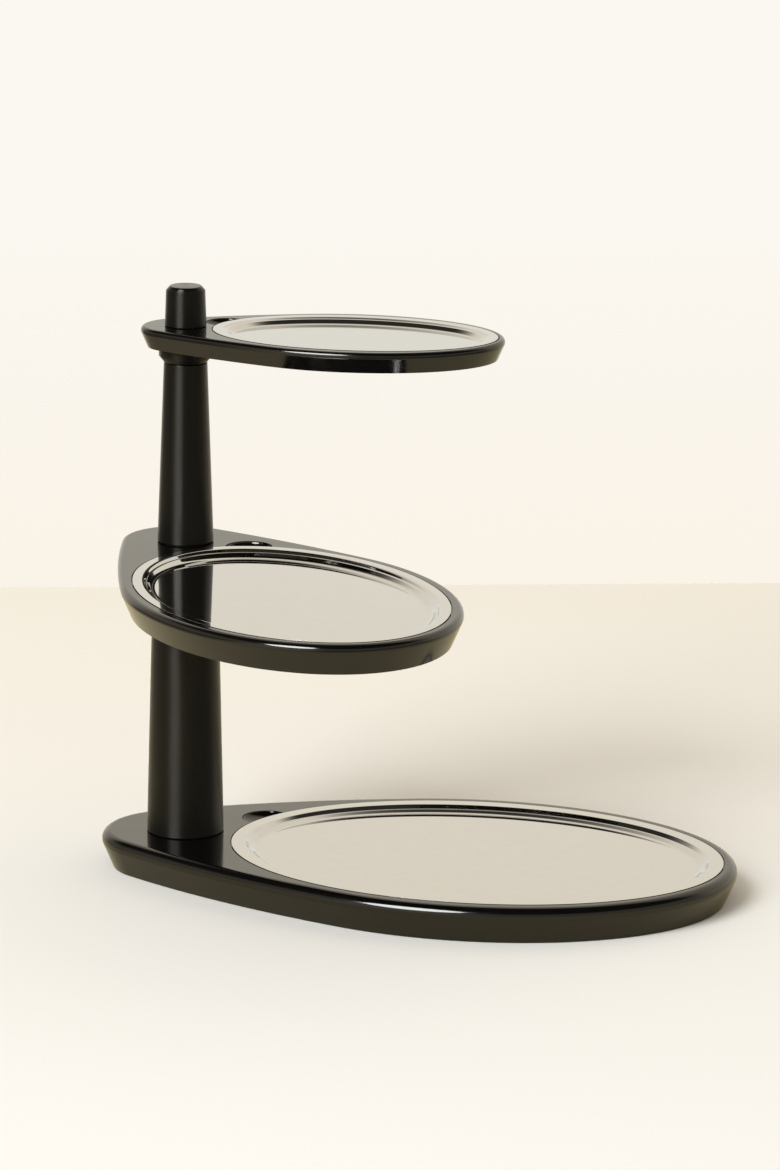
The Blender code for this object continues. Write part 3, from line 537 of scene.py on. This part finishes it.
def scoop_tool(t):
    """A flattened ball, set on the tray's edge beside the arm."""
    bm = bmesh.new()
    bmesh.ops.create_uvsphere(bm, u_segments=96, v_segments=48, radius=1.0)
    verts, depth = bm.verts, min(DEEPEST_SCOOP, t.deck - t.well)
    bmesh.ops.scale(bm, verts=verts, vec=(t.scoop, t.scoop, depth))
    reach = t.tray_a * (1 - (t.scoop_offset / t.tray_b) ** 2) ** 0.5
    bmesh.ops.translate(bm, verts=verts, vec=(t.distance - reach, t.scoop_offset, t.deck))
    return as_object("scoop", keep_mesh(bm, "scoop"))


# %% Turn profiles about an axis
def turned(name, profile, steps=96, place=(0.0, 0.0), ring=False):
    """A solid of revolution: (radius, height) points, joined up if it is a ring."""
    angles = [2 * pi * i / steps for i in range(steps)]
    rings = [[(place[0] + radius * cos(a), place[1] + radius * sin(a), height) for a in angles]
             for radius, height in profile]
    return ringed(name, rings, capped=not ring)


def bore_tool(radius, low, high, place=(0.0, 0.0)):
    """A plain round hole from one level to another."""
    return as_object("bore", turned("bore", [(radius, low), (radius, high)], 64, place))


# %% Build the shelves
ROD_BORE, SLEEVE_BORE = 0.0043, 0.0073

for t in TIERS:
    shelf = as_object(f"{t.name}_moulding", ringed(t.name, shelf_rings(t)), GLOSS_ABS)
    bore = ROD_BORE if t is BASE else SLEEVE_BORE
    cut(shelf, [pocket_tool(t), scoop_tool(t), bore_tool(bore, t.bottom - PAST, t.deck + PAST)])
    complete(shelf, ["base_shell" if t is BASE else f"{t.name}_shelf"],
             t.body, 0.00035, t.turn)

# %% [markdown]
# ## The plates underneath
# A flat plate closes each shelf from below. It sits in the moulding's rebate, held by
# countersunk screws near its edge. On the base it also holds the rubber feet in shallow pockets,
# and on the turning shelves it has a hole round the hub. Screws and feet stand at shares of a
# line along the outline, so one function walks it for both.

# %% Find the places of screws and feet
SCREW_INSET, FOOT_INSET = 0.0095, 0.0150
FOOT_SHARES = (0.10, 0.30, 0.70, 0.90)


def walk(t, inset, shares):
    """Points on the outline, moved inwards, at shares of the way round."""
    path = [Vector(point) for point in moved(t, t.foot_inset + inset, 0.0)]
    legs = [(a, b, (b - a).length) for a, b in zip(path, path[1:] + path[:1])]
    places = []
    whole = sum(step for _, _, step in legs)
    for share in shares:
        left = share * whole
        for a, b, step in legs:
            if left <= step:
                places.append(a.lerp(b, left / step))
                break
            left -= step
    return places


for t in TIERS:
    t.screw_places = walk(t, SCREW_INSET, t.screws)
BASE.foot_places = [Vector((0, 0, 0))] + walk(BASE, FOOT_INSET, FOOT_SHARES)
print("screws:", [len(t.screw_places) for t in TIERS], "feet:", len(BASE.foot_places))

# %% Build the plates
SCREW_HEAD, SCREW_SINK, SCREW_SHANK, SCREW_BITE = 0.0026, 0.0012, 0.0013, 0.0024
FOOT_RADIUS, FOOT_THICK, FOOT_CHAMFER = 0.0080, 0.0020, 0.0004
COLLAR_OVERHANG, HUB_WALL = 0.0032, 0.0015
MIDDLE.neck, TOP.neck = 0.0212, 0.0139  # the column's radius right under each shelf
for t in (MIDDLE, TOP):
    t.hub_radius = t.neck + COLLAR_OVERHANG + HUB_WALL


def sink_tool(t, place):
    """The countersunk hole of one screw."""
    head, shank = SCREW_HEAD + SEAT, SCREW_SHANK + SEAT
    profile = [(head, t.bottom - PAST), (head, t.bottom + SEAT),
               (shank, t.bottom + SCREW_SINK + SEAT), (shank, t.bottom + t.cover + PAST)]
    return as_object("sink", turned("sink", profile, 40, place[:2]))


for t in TIERS:
    edge = t.foot_inset + LIP + SEAT
    plate = as_object(f"{t.name}_underplate", ringed(t.name, [
        moved(t, edge, t.bottom), moved(t, edge, t.bottom + t.cover)]), SATIN_ABS)
    tools = [sink_tool(t, place) for place in t.screw_places]
    if t is BASE:
        tools += [bore_tool(FOOT_RADIUS + SEAT, t.bottom - PAST, FOOT_THICK + SEAT, place)
                  for place in t.foot_places]
    else:
        tools.append(bore_tool(t.hub_radius + SEAT, t.bottom - PAST, t.bottom + t.cover + PAST))
    cut(plate, tools)
    complete(plate, [f"{t.name}_cover"], t.body, 0.00015, t.turn)

# %% [markdown]
# ## The hubs of the turning shelves
# Where the plate has its hole, the shelf's own hub comes down to turn on the column's collar:
# a plain turned ring with a bore for the steel sleeve. It belongs to the moulding, so it rides
# with its shelf.

# %% Build the hubs
HUB_SHORT = 0.0001

for t in (MIDDLE, TOP):
    hub_top = t.ceiling - HUB_SHORT
    hub = as_object(f"{t.name}_hub", turned("hub", [
        (SLEEVE_BORE, t.bottom), (t.hub_radius, t.bottom), (t.hub_radius, hub_top),
        (SLEEVE_BORE, hub_top)], ring=True), GLOSS_ABS)
    complete(hub, [], t.body, 0.0003, t.turn)

# %% [markdown]
# ## The pressed trays, grown from a rule
# A pressed tray is one rule: the section of its edge, carried round an oval. The section is a
# line with four bends: a flat rim, a short step down to a narrow ledge, a sloping wall and the
# start of the floor. In Geometry Nodes one curve is the oval, stepped by the angle of its
# normal, and another is the section, whose corners a Fillet node bends to their real radii.
# Curve to Mesh sweeps one along the other, and the open middle is filled as the floor. The sweep
# points a section's own right and up outwards and down, so it's first turned round.

# %% Helpers for geometry node trees
SOCKETS = {float: "NodeSocketFloat", int: "NodeSocketInt", bool: "NodeSocketBool",
           bpy.types.Material: "NodeSocketMaterial"}


def start_tree(name, sizes):
    """A geometry node group with a geometry and each of the sizes as a named input."""
    tree = bpy.data.node_groups.new(name, "GeometryNodeTree")
    sockets = tree.interface
    sockets.new_socket("Geometry", in_out="INPUT", socket_type="NodeSocketGeometry")
    for label, value in sizes.items():
        sockets.new_socket(label, in_out="INPUT", socket_type=SOCKETS[type(value)])
    sockets.new_socket("Geometry", in_out="OUTPUT", socket_type="NodeSocketGeometry")
    return tree, add(tree, "NodeGroupInput").outputs


def finish_tree(tree, geometry, given):
    """End with real geometry that carries its finish."""
    real = add(tree, "GeometryNodeRealizeInstances", {0: geometry})
    dressed = add(tree, "GeometryNodeSetMaterial", {
        "Geometry": real, "Material": given["Material"]})
    add(tree, "NodeGroupOutput", {0: dressed})
    print(tree.name, "has", len(tree.nodes), "nodes")
    return tree


def grow(name, tree, sizes, points=()):
    """Run a tree on a bare mesh of points, and keep the result as a plain mesh."""
    mesh = bpy.data.meshes.new(name)
    mesh.from_pydata([tuple(point) for point in points], [], [])
    item = as_object(name, mesh)
    modifier = item.modifiers.new("grown", "NODES")
    modifier.node_group = tree
    for socket in tree.interface.items_tree:
        if socket.in_out == "INPUT" and socket.name in sizes:
            modifier[socket.identifier] = sizes[socket.name]
    return settle(item)


# %% Build the dish tree
FLOOR_LEAD = 0.0045
MERGED = 0.00001


def dish_sizes(t):
    """The dish tree's inputs for one tier."""
    (step_run, step_drop), (ledge_run, ledge_drop) = t.step, t.ledge
    bends = zip(("Rim bend", "Step bend", "Ledge bend", "Foot bend"), t.bends)
    return {"Half length": t.tray_a, "Half width": t.tray_b, "Rim top": t.rim_top,
            "Rim width": t.rim, "Step run": step_run, "Step drop": step_drop,
            "Ledge run": ledge_run, "Ledge drop": ledge_drop, "Wall run": t.wall,
            "Wall drop": t.dish_depth - step_drop - ledge_drop, "Floor lead": FLOOR_LEAD,
            **dict(bends), "Points round": 360, "Points in a bend": 9, "Material": STAINLESS}


def oval_path(tree, given):
    """The tray's edge as a curve: a unit circle's points are the normals of the oval's."""
    circle = add(tree, "GeometryNodeCurvePrimitiveCircle", {
        "Resolution": given["Points round"], "Radius": 1.0})
    normal = add(tree, "GeometryNodeInputPosition")
    axes = add(tree, "ShaderNodeCombineXYZ", {
        "X": given["Half length"], "Y": given["Half width"]})
    once = add(tree, "ShaderNodeVectorMath", {0: normal, 1: axes}, operation="MULTIPLY")
    reach = add(tree, "ShaderNodeVectorMath", {0: once}, operation="LENGTH")
    twice = add(tree, "ShaderNodeVectorMath", {0: once, 1: axes}, operation="MULTIPLY")
    share = add(tree, "ShaderNodeMath", {0: 1.0, 1: reach}, operation="DIVIDE")
    place = add(tree, "ShaderNodeVectorMath", {0: twice, "Scale": share}, operation="SCALE")
    oval = add(tree, "GeometryNodeSetPosition", {"Geometry": circle, "Position": place})
    return add(tree, "GeometryNodeSetCurveNormal", {"Curve": oval}, mode="Z_UP")


def bent_section(tree, given):
    """The section with its bends as a curve, and its corners before they are bent."""
    corner = add(tree, "ShaderNodeCombineXYZ", {"X": 0.0, "Y": given["Rim top"]})
    corners = [corner]
    for run, drop in (("Rim width", None), ("Step run", "Step drop"),
                      ("Ledge run", "Ledge drop"), ("Wall run", "Wall drop"),
                      ("Floor lead", None)):
        leg = add(tree, "ShaderNodeCombineXYZ", {"X": given[run]})
        if drop:
            fall = add(tree, "ShaderNodeMath", {0: given[drop], 1: -1.0}, operation="MULTIPLY")
            feed(tree, leg, {"Y": fall})
        corner = add(tree, "ShaderNodeVectorMath", {0: corner, 1: leg}, operation="ADD")
        corners.append(corner)
    bends = [given[f"{part} bend"] for part in ("Rim", "Rim", "Step", "Ledge", "Foot", "Foot")]
    by_point = {}
    for kind, values in (("VECTOR", corners), ("FLOAT", bends)):
        choose = by_point[kind] = add(tree, "GeometryNodeIndexSwitch", data_type=kind)
        while len(choose.index_switch_items) < len(values):
            choose.index_switch_items.new()
        index = add(tree, "GeometryNodeInputIndex")
        feed(tree, choose, dict(enumerate([index, *values])))
    line = add(tree, "GeometryNodeMeshLine", {"Count": len(corners)})
    section = add(tree, "GeometryNodeSetPosition", {
        "Geometry": line, "Position": by_point["VECTOR"]})
    facing = add(tree, "GeometryNodeTransform", {
        "Geometry": section, "Rotation": (0.0, 0.0, pi)})
    curve = add(tree, "GeometryNodeMeshToCurve", {"Mesh": facing})
    bent = add(tree, "GeometryNodeFilletCurve", {
        "Curve": curve, "Count": given["Points in a bend"], "Radius": by_point["FLOAT"],
        "Limit Radius": True}, mode="POLY")
    return bent, corners


def dish_tree():
    """Sweep the section round the oval, and fill the open middle as the floor."""
    tree, given = start_tree("pressed_oval_dish", dish_sizes(BASE))
    bent, corners = bent_section(tree, given)
    swept = add(tree, "GeometryNodeCurveToMesh", {
        "Curve": oval_path(tree, given), "Profile Curve": bent})
    wall_top = add(tree, "ShaderNodeSeparateXYZ", {0: corners[3]}).outputs["Y"]
    floor_level = add(tree, "ShaderNodeSeparateXYZ", {0: corners[5]}).outputs["Y"]
    place = add(tree, "GeometryNodeInputPosition")
    height = add(tree, "ShaderNodeSeparateXYZ", {0: place}).outputs["Z"]
    is_low = add(tree, "FunctionNodeCompare", {0: height, 1: wall_top}, operation="LESS_THAN")
    faces = add(tree, "GeometryNodeInputMeshEdgeNeighbors")
    is_edge = add(tree, "FunctionNodeCompare", {2: faces, 3: 1}, data_type="INT",
                  operation="EQUAL")
    inner = add(tree, "FunctionNodeBooleanMath", {0: is_low, 1: is_edge}, operation="AND")
    hole = add(tree, "GeometryNodeMeshToCurve", {"Mesh": swept, "Selection": inner})
    sheet = add(tree, "GeometryNodeFillCurve", {"Curve": hole}, mode="NGONS")
    lift = add(tree, "ShaderNodeCombineXYZ", {"Z": floor_level})
    floor = add(tree, "GeometryNodeTransform", {"Geometry": sheet, "Translation": lift})
    whole = add(tree, "GeometryNodeJoinGeometry", {0: [swept, floor]})
    merged = add(tree, "GeometryNodeMergeByDistance", {"Geometry": whole, "Distance": MERGED})
    return finish_tree(tree, merged, given)


DISH = dish_tree()

# %% Press the three trays
for t in TIERS:
    dish = grow(f"{t.name}_dish", DISH, dish_sizes(t))
    bm = bmesh.new()
    bm.from_mesh(dish.data)
    bmesh.ops.recalc_face_normals(bm, faces=bm.faces)
    if max(bm.faces, key=lambda face: face.calc_area()).normal.z < 0:
        bmesh.ops.reverse_faces(bm, faces=bm.faces)
    bmesh.ops.translate(bm, verts=bm.verts, vec=(t.distance, 0, 0))
    bm.to_mesh(dish.data)
    bm.free()
    sheet = dish.modifiers.new("sheet", "SOLIDIFY")
    sheet.thickness, sheet.offset, sheet.use_even_offset = SHEET, -1.0, True
    settle(dish)
    complete(dish, [f"{t.name}_tray"], f"{t.name}_tray", 0.00007, t.turn,
             corner=60.0, steps=2)

# %% [markdown]
# ## The column, the collars and the knob
# These are round moulded parts, so each is a profile turned about the column's axis. The column
# tapers in two sections, one under each turning shelf. On each section's head sits a collar that
# flares out to carry the shelf, and on top is a knob with a broad chamfer. The profiles follow
# the frame's, fitted a little closer to the photograph.

# %% Turn the round parts
POCKET_WALL, COLLAR_HEIGHT, FLARE = 0.0022, 0.0095, 0.0040
WASHER, DISC = 0.0012, 0.0020
UNDER_POCKET = WASHER + 2 * SEAT - SWIVEL
OVER_POCKET = WASHER + DISC + 3 * SEAT - SWIVEL
CROWN_DEPTH, SPIGOT_SHARE = 0.0160, 0.76


def place_round(name, profile, node, width, ring=True):
    """Turn a profile into a piece of the stand."""
    piece = as_object(name, turned(name, profile, 128, ring=ring), SATIN_ABS)
    complete(piece, [node], "stand", width)


def column_profile(foot, foot_radius, head, neck, wall, pocket):
    """A hollow tapered length: a spigot for its collar, and a pocket underneath if it has one."""
    shoulder = head - COLLAR_HEIGHT
    top, crown, spigot = head - UNDER_POCKET, head - CROWN_DEPTH, neck * SPIGOT_SHARE
    profile = [(spigot, top), (spigot, shoulder), (neck, shoulder), (foot_radius, foot)]
    inner = foot_radius - wall
    if pocket:
        inner = min(inner, pocket - POCKET_WALL)
        profile += [(pocket, foot), (pocket, foot + OVER_POCKET), (inner, foot + OVER_POCKET)]
    else:
        profile += [(inner, foot)]
    narrow = max(neck - wall, ROD_BORE + POCKET_WALL)
    return profile + [(narrow, crown), (ROD_BORE, crown), (ROD_BORE, top)]


def collar_profile(head, neck):
    """A ring on the spigot that flares out to the overhang, with a pocket for the washer."""
    outer, foot = neck + COLLAR_OVERHANG, head - COLLAR_HEIGHT + SEAT
    spigot, pocket, seat = neck * SPIGOT_SHARE + SEAT, neck + SEAT, head - UNDER_POCKET
    return [(outer, head), (outer, foot + FLARE), (neck, foot), (spigot, foot), (spigot, seat),
            (pocket, seat), (pocket, head)]


for t, name, foot, foot_radius, wall, pocket in (
        (MIDDLE, "lower", BASE.deck + SEAT, 0.0249, 0.0050, 0.0),
        (TOP, "upper", MIDDLE.deck + SWIVEL, 0.0180, 0.0045, 0.0158)):
    head = t.bottom - SWIVEL
    column = column_profile(foot, foot_radius, head, t.neck, wall, pocket)
    place_round(f"{name}_column_tube", column, f"{name}_column", width=0.0006)
    collar = collar_profile(head, t.neck)
    place_round(f"{name}_collar_ring", collar, f"{name}_collar", width=0.0004)

# %% Turn the knob
KNOB_HEIGHT, KNOB_FOOT, KNOB_CROWN, KNOB_TOP = 0.0257, 0.0133, 0.0125, 0.0101
KNOB_CHAMFER, INSERT_LENGTH = 0.0029, 0.0140
knob_foot, knob_top = TOP.deck + SEAT, TOP.deck + KNOB_HEIGHT
knob_floor = knob_foot + OVER_POCKET
knob_pocket = KNOB_FOOT - POCKET_WALL
insert_end = knob_floor + INSERT_LENGTH + SEAT
place_round("turned_knob", [
    (0.0, knob_top), (KNOB_TOP, knob_top), (KNOB_CROWN, knob_top - KNOB_CHAMFER),
    (KNOB_FOOT, knob_foot), (knob_pocket, knob_foot), (knob_pocket, knob_floor),
    (SLEEVE_BORE, knob_floor), (SLEEVE_BORE, insert_end), (0.0, insert_end)],
    "knob", width=0.0005, ring=False)

# %% [markdown]
# ## Screws and feet on their points
# Screws and feet repeat, and both are studs: a disc that tapers to a narrower or wider body. One
# tree puts a stud on every point of the mesh that it is given. A Mesh Boolean cuts a screw's
# cross recess, and a Random Value with a fixed seed stops each screw at its own angle.

# %% Build the stud tree
SCREW = {"Face radius": SCREW_HEAD, "Taper height": SCREW_SINK, "Body radius": SCREW_SHANK,
         "Body length": SCREW_BITE, "Sides": 32, "Has cross": True, "Cross length": 0.0030,
         "Cross width": 0.0006, "Cross depth": 0.0009, "Material": ZINC}
FOOT = {"Face radius": FOOT_RADIUS - FOOT_CHAMFER, "Taper height": FOOT_CHAMFER,
        "Body radius": FOOT_RADIUS, "Body length": FOOT_THICK - FOOT_CHAMFER, "Sides": 64,
        "Has cross": False, "Material": RUBBER}


def stud_tree():
    """One stud, with or without a cross recess, on every point."""
    tree, given = start_tree("studs_on_points", SCREW)
    face = add(tree, "GeometryNodeMeshCircle", {
        "Vertices": given["Sides"], "Radius": given["Face radius"]}, fill_type="NGON")
    rise = add(tree, "ShaderNodeCombineXYZ", {"Z": given["Taper height"]})
    taper = add(tree, "GeometryNodeExtrudeMesh", {
        "Mesh": face, "Offset": rise, "Offset Scale": 1.0}, mode="FACES")
    factor = add(tree, "ShaderNodeMath", {0: given["Body radius"], 1: given["Face radius"]},
                 operation="DIVIDE")
    sized = add(tree, "GeometryNodeScaleElements", {
        "Geometry": taper, "Selection": taper.outputs["Top"], "Scale": factor})
    length = add(tree, "ShaderNodeCombineXYZ", {"Z": given["Body length"]})
    body = add(tree, "GeometryNodeExtrudeMesh", {
        "Mesh": sized, "Selection": taper.outputs["Top"], "Offset": length,
        "Offset Scale": 1.0}, mode="FACES")
    base = add(tree, "GeometryNodeFlipFaces", {"Mesh": face})
    stud = add(tree, "GeometryNodeJoinGeometry", {0: [body, base]})
    solid = add(tree, "GeometryNodeMergeByDistance", {"Geometry": stud, "Distance": DOUBLED})
    high = add(tree, "ShaderNodeMath", {0: given["Cross depth"], 1: 2.0}, operation="MULTIPLY")
    arms = []
    for wide, deep in (("Cross length", "Cross width"), ("Cross width", "Cross length")):
        size = add(tree, "ShaderNodeCombineXYZ", {"X": given[wide], "Y": given[deep], "Z": high})
        arms.append(add(tree, "GeometryNodeMeshCube", {"Size": size}))
    recessed = add(tree, "GeometryNodeMeshBoolean", {"Mesh 1": solid, "Mesh 2": arms},
                   operation="DIFFERENCE", solver="EXACT")
    either = add(tree, "GeometryNodeSwitch", {
        "Switch": given["Has cross"], "False": solid, "True": recessed}, input_type="GEOMETRY")
    angle = add(tree, "FunctionNodeRandomValue", {2: 0.0, 3: 2 * pi, "Seed": 7},
                data_type="FLOAT")
    spin = add(tree, "ShaderNodeCombineXYZ", {"Z": angle})
    placed = add(tree, "GeometryNodeInstanceOnPoints", {
        "Points": given["Geometry"], "Instance": either, "Rotation": spin})
    return finish_tree(tree, placed, given)


STUDS = stud_tree()

# %% Place the screws and the feet
for t in TIERS:
    screws = grow(f"{t.name}_plate_screws", STUDS, SCREW,
                  [(place.x, place.y, t.bottom) for place in t.screw_places])
    complete(screws, [f"{t.name}_cover_screw_{i + 1}" for i in range(len(t.screws))],
             t.body, 0.00008, t.turn)

feet = grow("rubber_feet", STUDS, FOOT, BASE.foot_places)
complete(feet, [f"foot_{i}" for i in range(1, 6)], "stand", 0.0002)

# %% [markdown]
# ## The inner fittings
# The tie rod, its nut and washers, the steel sleeves and the brass insert are hidden inside the
# column. The frame's shapes are right for them, so they stay and only get a finish.

# %% Dress what stays from the frame
KEPT = {"tie_rod": ZINC, "rod_nut": ZINC, "rod_washer": ZINC, "knob_insert": BRASS}
for t in (MIDDLE, TOP):
    KEPT |= {f"{t.name}_bush": ZINC, f"{t.name}_clamp_disc": ZINC,
             f"{t.name}_lower_washer": NYLON, f"{t.name}_upper_washer": NYLON}
for name, finish in KEPT.items():
    node = frame["nodes"][name]
    node.data.materials.clear()
    node.data.materials.append(finish)
shown = {name for name, node in frame["nodes"].items() if not node.hide_render}
print("still shown:", sorted(shown), "undressed:", sorted(shown - set(KEPT)))

# %% [markdown]
# ## The table and the room
# The photograph shows a cream table before a cream backdrop, parted by a faint line. One large
# floor serves for both: beyond the line it takes the backdrop's colour. Glossy plastic and
# polished steel show the room, so the world matters. Glossy rays find it bright and cream behind
# the stand, where the backdrop rises, and whiter low down. In front it is hazy low down, with a
# pale skirt under the key lamp, and dim overhead. The table looks warmer in reflections, and
# away from backdrop and skirt it ends in the dusk. That contrast draws the dark lines along the
# rounded edges and in the trays' walls. All other rays find an even soft fill.

# %% Choose the tones and directions
FLOOR, TABLE_FRONT = 20.0, -0.6
LINE_AWAY, LINE_SLOPE = 0.757, -0.064  # where the table ends, in metres, and how it slants
# The table's far colour is painted shade: it makes the table a little darker and warmer towards
# the line, where the key lamp's light falls off.
TABLE_NEAR, TABLE_FAR_PAINTED_SHADE, TABLE_WARM, DUSK = "#F2F1EE", "#F4EFE4", "#EFE6C6", "#8B857A"
WALL_LOW, WALL_HIGH, WALL_RISE = "#FAF3E8", "#FBF8F1", 2.4
DIM, HAZE, SKIRT, BRIGHT, WHITER = "#33302B", "#BDB7AB", "#EEEDEC", "#F8EFDC", "#F4F1E5"
FILL, CREAM, BRIGHTER = "#C8C0B3", "#FCF8EE", 1.06
KEY_AZIMUTH, KEY_ELEVATION = radians(-36.0), radians(36.0)


def room_shares(tree, across, away, more):
    """How much a direction meets each part of the room: smooth steps from 0 to 1."""
    leaning = add(tree, "ShaderNodeMath", {0: across, 1: 0.35, 2: away},
                  operation="MULTIPLY_ADD")
    side = add(tree, "ShaderNodeMath", {0: across, 1: sin(KEY_AZIMUTH)}, operation="MULTIPLY")
    front = add(tree, "ShaderNodeMath", {0: away, 1: -cos(KEY_AZIMUTH), 2: side},
                operation="MULTIPLY_ADD")
    steps = {"backdrop": (leaning, 0.30, 0.65), "skirt": (front, 0.84, 0.97), **more}
    return {part: add(tree, "ShaderNodeMapRange", {
        "Value": value, "From Min": start, "From Max": full}, interpolation_type="SMOOTHSTEP")
        for part, (value, start, full) in steps.items()}


def layered(tree, ground, *layers):
    """Colours over a ground colour, each with its share and perhaps a way of mixing."""
    for share, colour, *way in layers:
        ground, colour = [linear(c) if isinstance(c, str) else c for c in (ground, colour)]
        ground = add(tree, "ShaderNodeMix", {0: share, 6: ground, 7: colour},
                     data_type="RGBA", blend_type=way[0] if way else "MIX")
    return ground


# %% Lay the floor
def dusk_share(tree, spot, rays):
    """How far a glossy ray sees the dusk beyond the table's lit part, 0 to 1."""
    reach = add(tree, "ShaderNodeVectorMath", {0: spot}, operation="LENGTH")
    level = add(tree, "ShaderNodeVectorMath", {0: spot}, operation="NORMALIZE")
    level = add(tree, "ShaderNodeSeparateXYZ", {0: level}).outputs
    sided = add(tree, "ShaderNodeMath", {0: level["X"], 1: -0.30, 2: reach},
                operation="MULTIPLY_ADD")
    share = room_shares(tree, level["X"], level["Y"], {"dusk": (sided, 0.55, 1.05)})
    pale = add(tree, "ShaderNodeMath", {0: share["backdrop"], 1: share["skirt"]},
               operation="MAXIMUM")
    rest = add(tree, "ShaderNodeMath", {0: 1.0, 1: pale}, operation="SUBTRACT")
    dusk = add(tree, "ShaderNodeMath", {0: share["dusk"], 1: rest}, operation="MULTIPLY")
    return add(tree, "ShaderNodeMath", {0: dusk, 1: rays["Is Glossy Ray"]},
               operation="MULTIPLY")


def table_and_wall():
    """The floor's finish: table paper up to the line, and the backdrop's own colour beyond."""
    finish, tree, shader, place = start_finish("cream_table_paper")
    rays = add(tree, "ShaderNodeLightPath").outputs
    glossy = rays["Is Glossy Ray"]
    spot = add(tree, "ShaderNodeMapping", {"Vector": place, "Rotation": (0.0, 0.0, -HEADING)})
    parts = add(tree, "ShaderNodeSeparateXYZ", {0: spot}).outputs
    away = add(tree, "ShaderNodeMath", {0: parts["X"], 1: LINE_SLOPE, 2: parts["Y"]},
               operation="MULTIPLY_ADD")
    near, far = [
        add(tree, "ShaderNodeMapRange", {"Value": away, "From Min": start, "From Max": end})
        for start, end in ((TABLE_FRONT, LINE_AWAY), (LINE_AWAY, WALL_RISE))]
    # Painted shade: towards the line the table's colour grows darker and warmer, standing in for
    # the key lamp's falloff.
    table = layered(tree, TABLE_NEAR, (near, TABLE_FAR_PAINTED_SHADE), (glossy, TABLE_WARM, "MULTIPLY"))
    wall = layered(tree, WALL_LOW, (far, WALL_HIGH))
    seen = add(tree, "ShaderNodeMath", {0: rays["Is Camera Ray"], 1: glossy},
               operation="MAXIMUM")
    shown = add(tree, "ShaderNodeEmission", {"Color": layered(tree, wall, (glossy, BRIGHT))})
    matt_wall = add(tree, "ShaderNodeBsdfDiffuse", {"Color": wall})
    matt_table = add(tree, "ShaderNodeBsdfDiffuse", {"Color": table})
    backdrop = add(tree, "ShaderNodeMixShader", {0: seen, 1: matt_wall, 2: shown})
    beyond = add(tree, "ShaderNodeMath", {0: away, 1: LINE_AWAY}, operation="GREATER_THAN")
    both = add(tree, "ShaderNodeMixShader", {0: beyond, 1: matt_table, 2: backdrop})
    dusk = add(tree, "ShaderNodeEmission", {"Color": linear(DUSK)})
    whole = add(tree, "ShaderNodeMixShader", {0: dusk_share(tree, spot, rays), 1: both, 2: dusk})
    feed(tree, tree.nodes["Material Output"], {"Surface": whole})
    tree.nodes.remove(shader)
    return finish


mesh = bpy.data.meshes.new("table")
corners = [along(FLOOR * x, FLOOR * y) for x, y in ((-1, -1), (1, -1), (1, 1), (-1, 1))]
mesh.from_pydata(corners, [], [(0, 1, 2, 3)])
floor = as_object("table", mesh)
mesh.materials.append(table_and_wall())
print("the line is", LINE_AWAY, "m behind the column")

# %% Light the room
def make_room():
    """The world: what glossy rays see, an even fill for the rest, cream for the camera."""
    world = bpy.data.worlds.new("studio")
    bpy.context.scene.world = world
    world.use_nodes = True
    tree = world.node_tree
    rays = add(tree, "ShaderNodeLightPath").outputs
    look = add(tree, "ShaderNodeTexCoord").outputs["Generated"]
    across, away = [
        add(tree, "ShaderNodeVectorMath", {0: look, 1: way}, operation="DOT_PRODUCT")
        for way in (along(1.0, 0.0), along(0.0, 1.0))]
    height = add(tree, "ShaderNodeSeparateXYZ", {0: look}).outputs["Z"]
    share = room_shares(tree, across, away, {
        "low": (height, 0.64, 0.36), "foot": (height, 0.295, 0.185),
        "under_top": (height, 0.975, 0.82)})
    skirt, wall = [
        add(tree, "ShaderNodeMath", {0: share[side], 1: share[level]}, operation="MULTIPLY")
        for side, level in (("skirt", "low"), ("backdrop", "under_top"))]
    backdrop = layered(tree, BRIGHT, (share["foot"], WHITER))
    room = layered(tree, DIM, (share["low"], HAZE), (skirt, SKIRT), (wall, backdrop))
    seen = layered(tree, FILL, (rays["Is Glossy Ray"], room), (rays["Is Camera Ray"], CREAM))
    feed(tree, tree.nodes["Background"], {"Color": seen, "Strength": BRIGHTER})
    return world


print("made the world", make_room().name)

# %% [markdown]
# ## The key lamp
# The highlights on the rounded edges tell where the main lamp was and how large: round, to the
# left of the camera, and about as high up as it is to the side. It is far away, so its light
# falls off little towards the back. A twin right behind it, as wide when seen from the stand,
# lights only glossy surfaces: the highlights gain, and the table stays as it is.

# %% Hang the key lamp and its twin
LAMP_COLOUR, LAMP_AIM = "#F4F9FF", Vector((0.10, 0.0, 0.12))
direction = along(sin(KEY_AZIMUTH) * cos(KEY_ELEVATION),
                  -cos(KEY_AZIMUTH) * cos(KEY_ELEVATION), sin(KEY_ELEVATION))
for name, distance, width, height, watts in (("key_softbox", 9.0, 5.0, 4.8, 745.0),
                                             ("key_glint", 9.9, 5.5, 5.3, 540.0)):
    lamp = bpy.data.lights.new(name, "AREA")
    lamp.shape, lamp.size, lamp.size_y, lamp.energy = "ELLIPSE", width, height, watts
    lamp.color = linear(LAMP_COLOUR)[:3]
    softbox = as_object(name, lamp)
    softbox.location = LAMP_AIM + direction * distance
    softbox.rotation_euler = (-direction).to_track_quat("-Z", "Y").to_euler()
    softbox.visible_diffuse = name == "key_softbox"
    print(name, "hangs at", [round(v, 2) for v in softbox.location])
bpy.context.scene.view_settings.view_transform = "Standard"
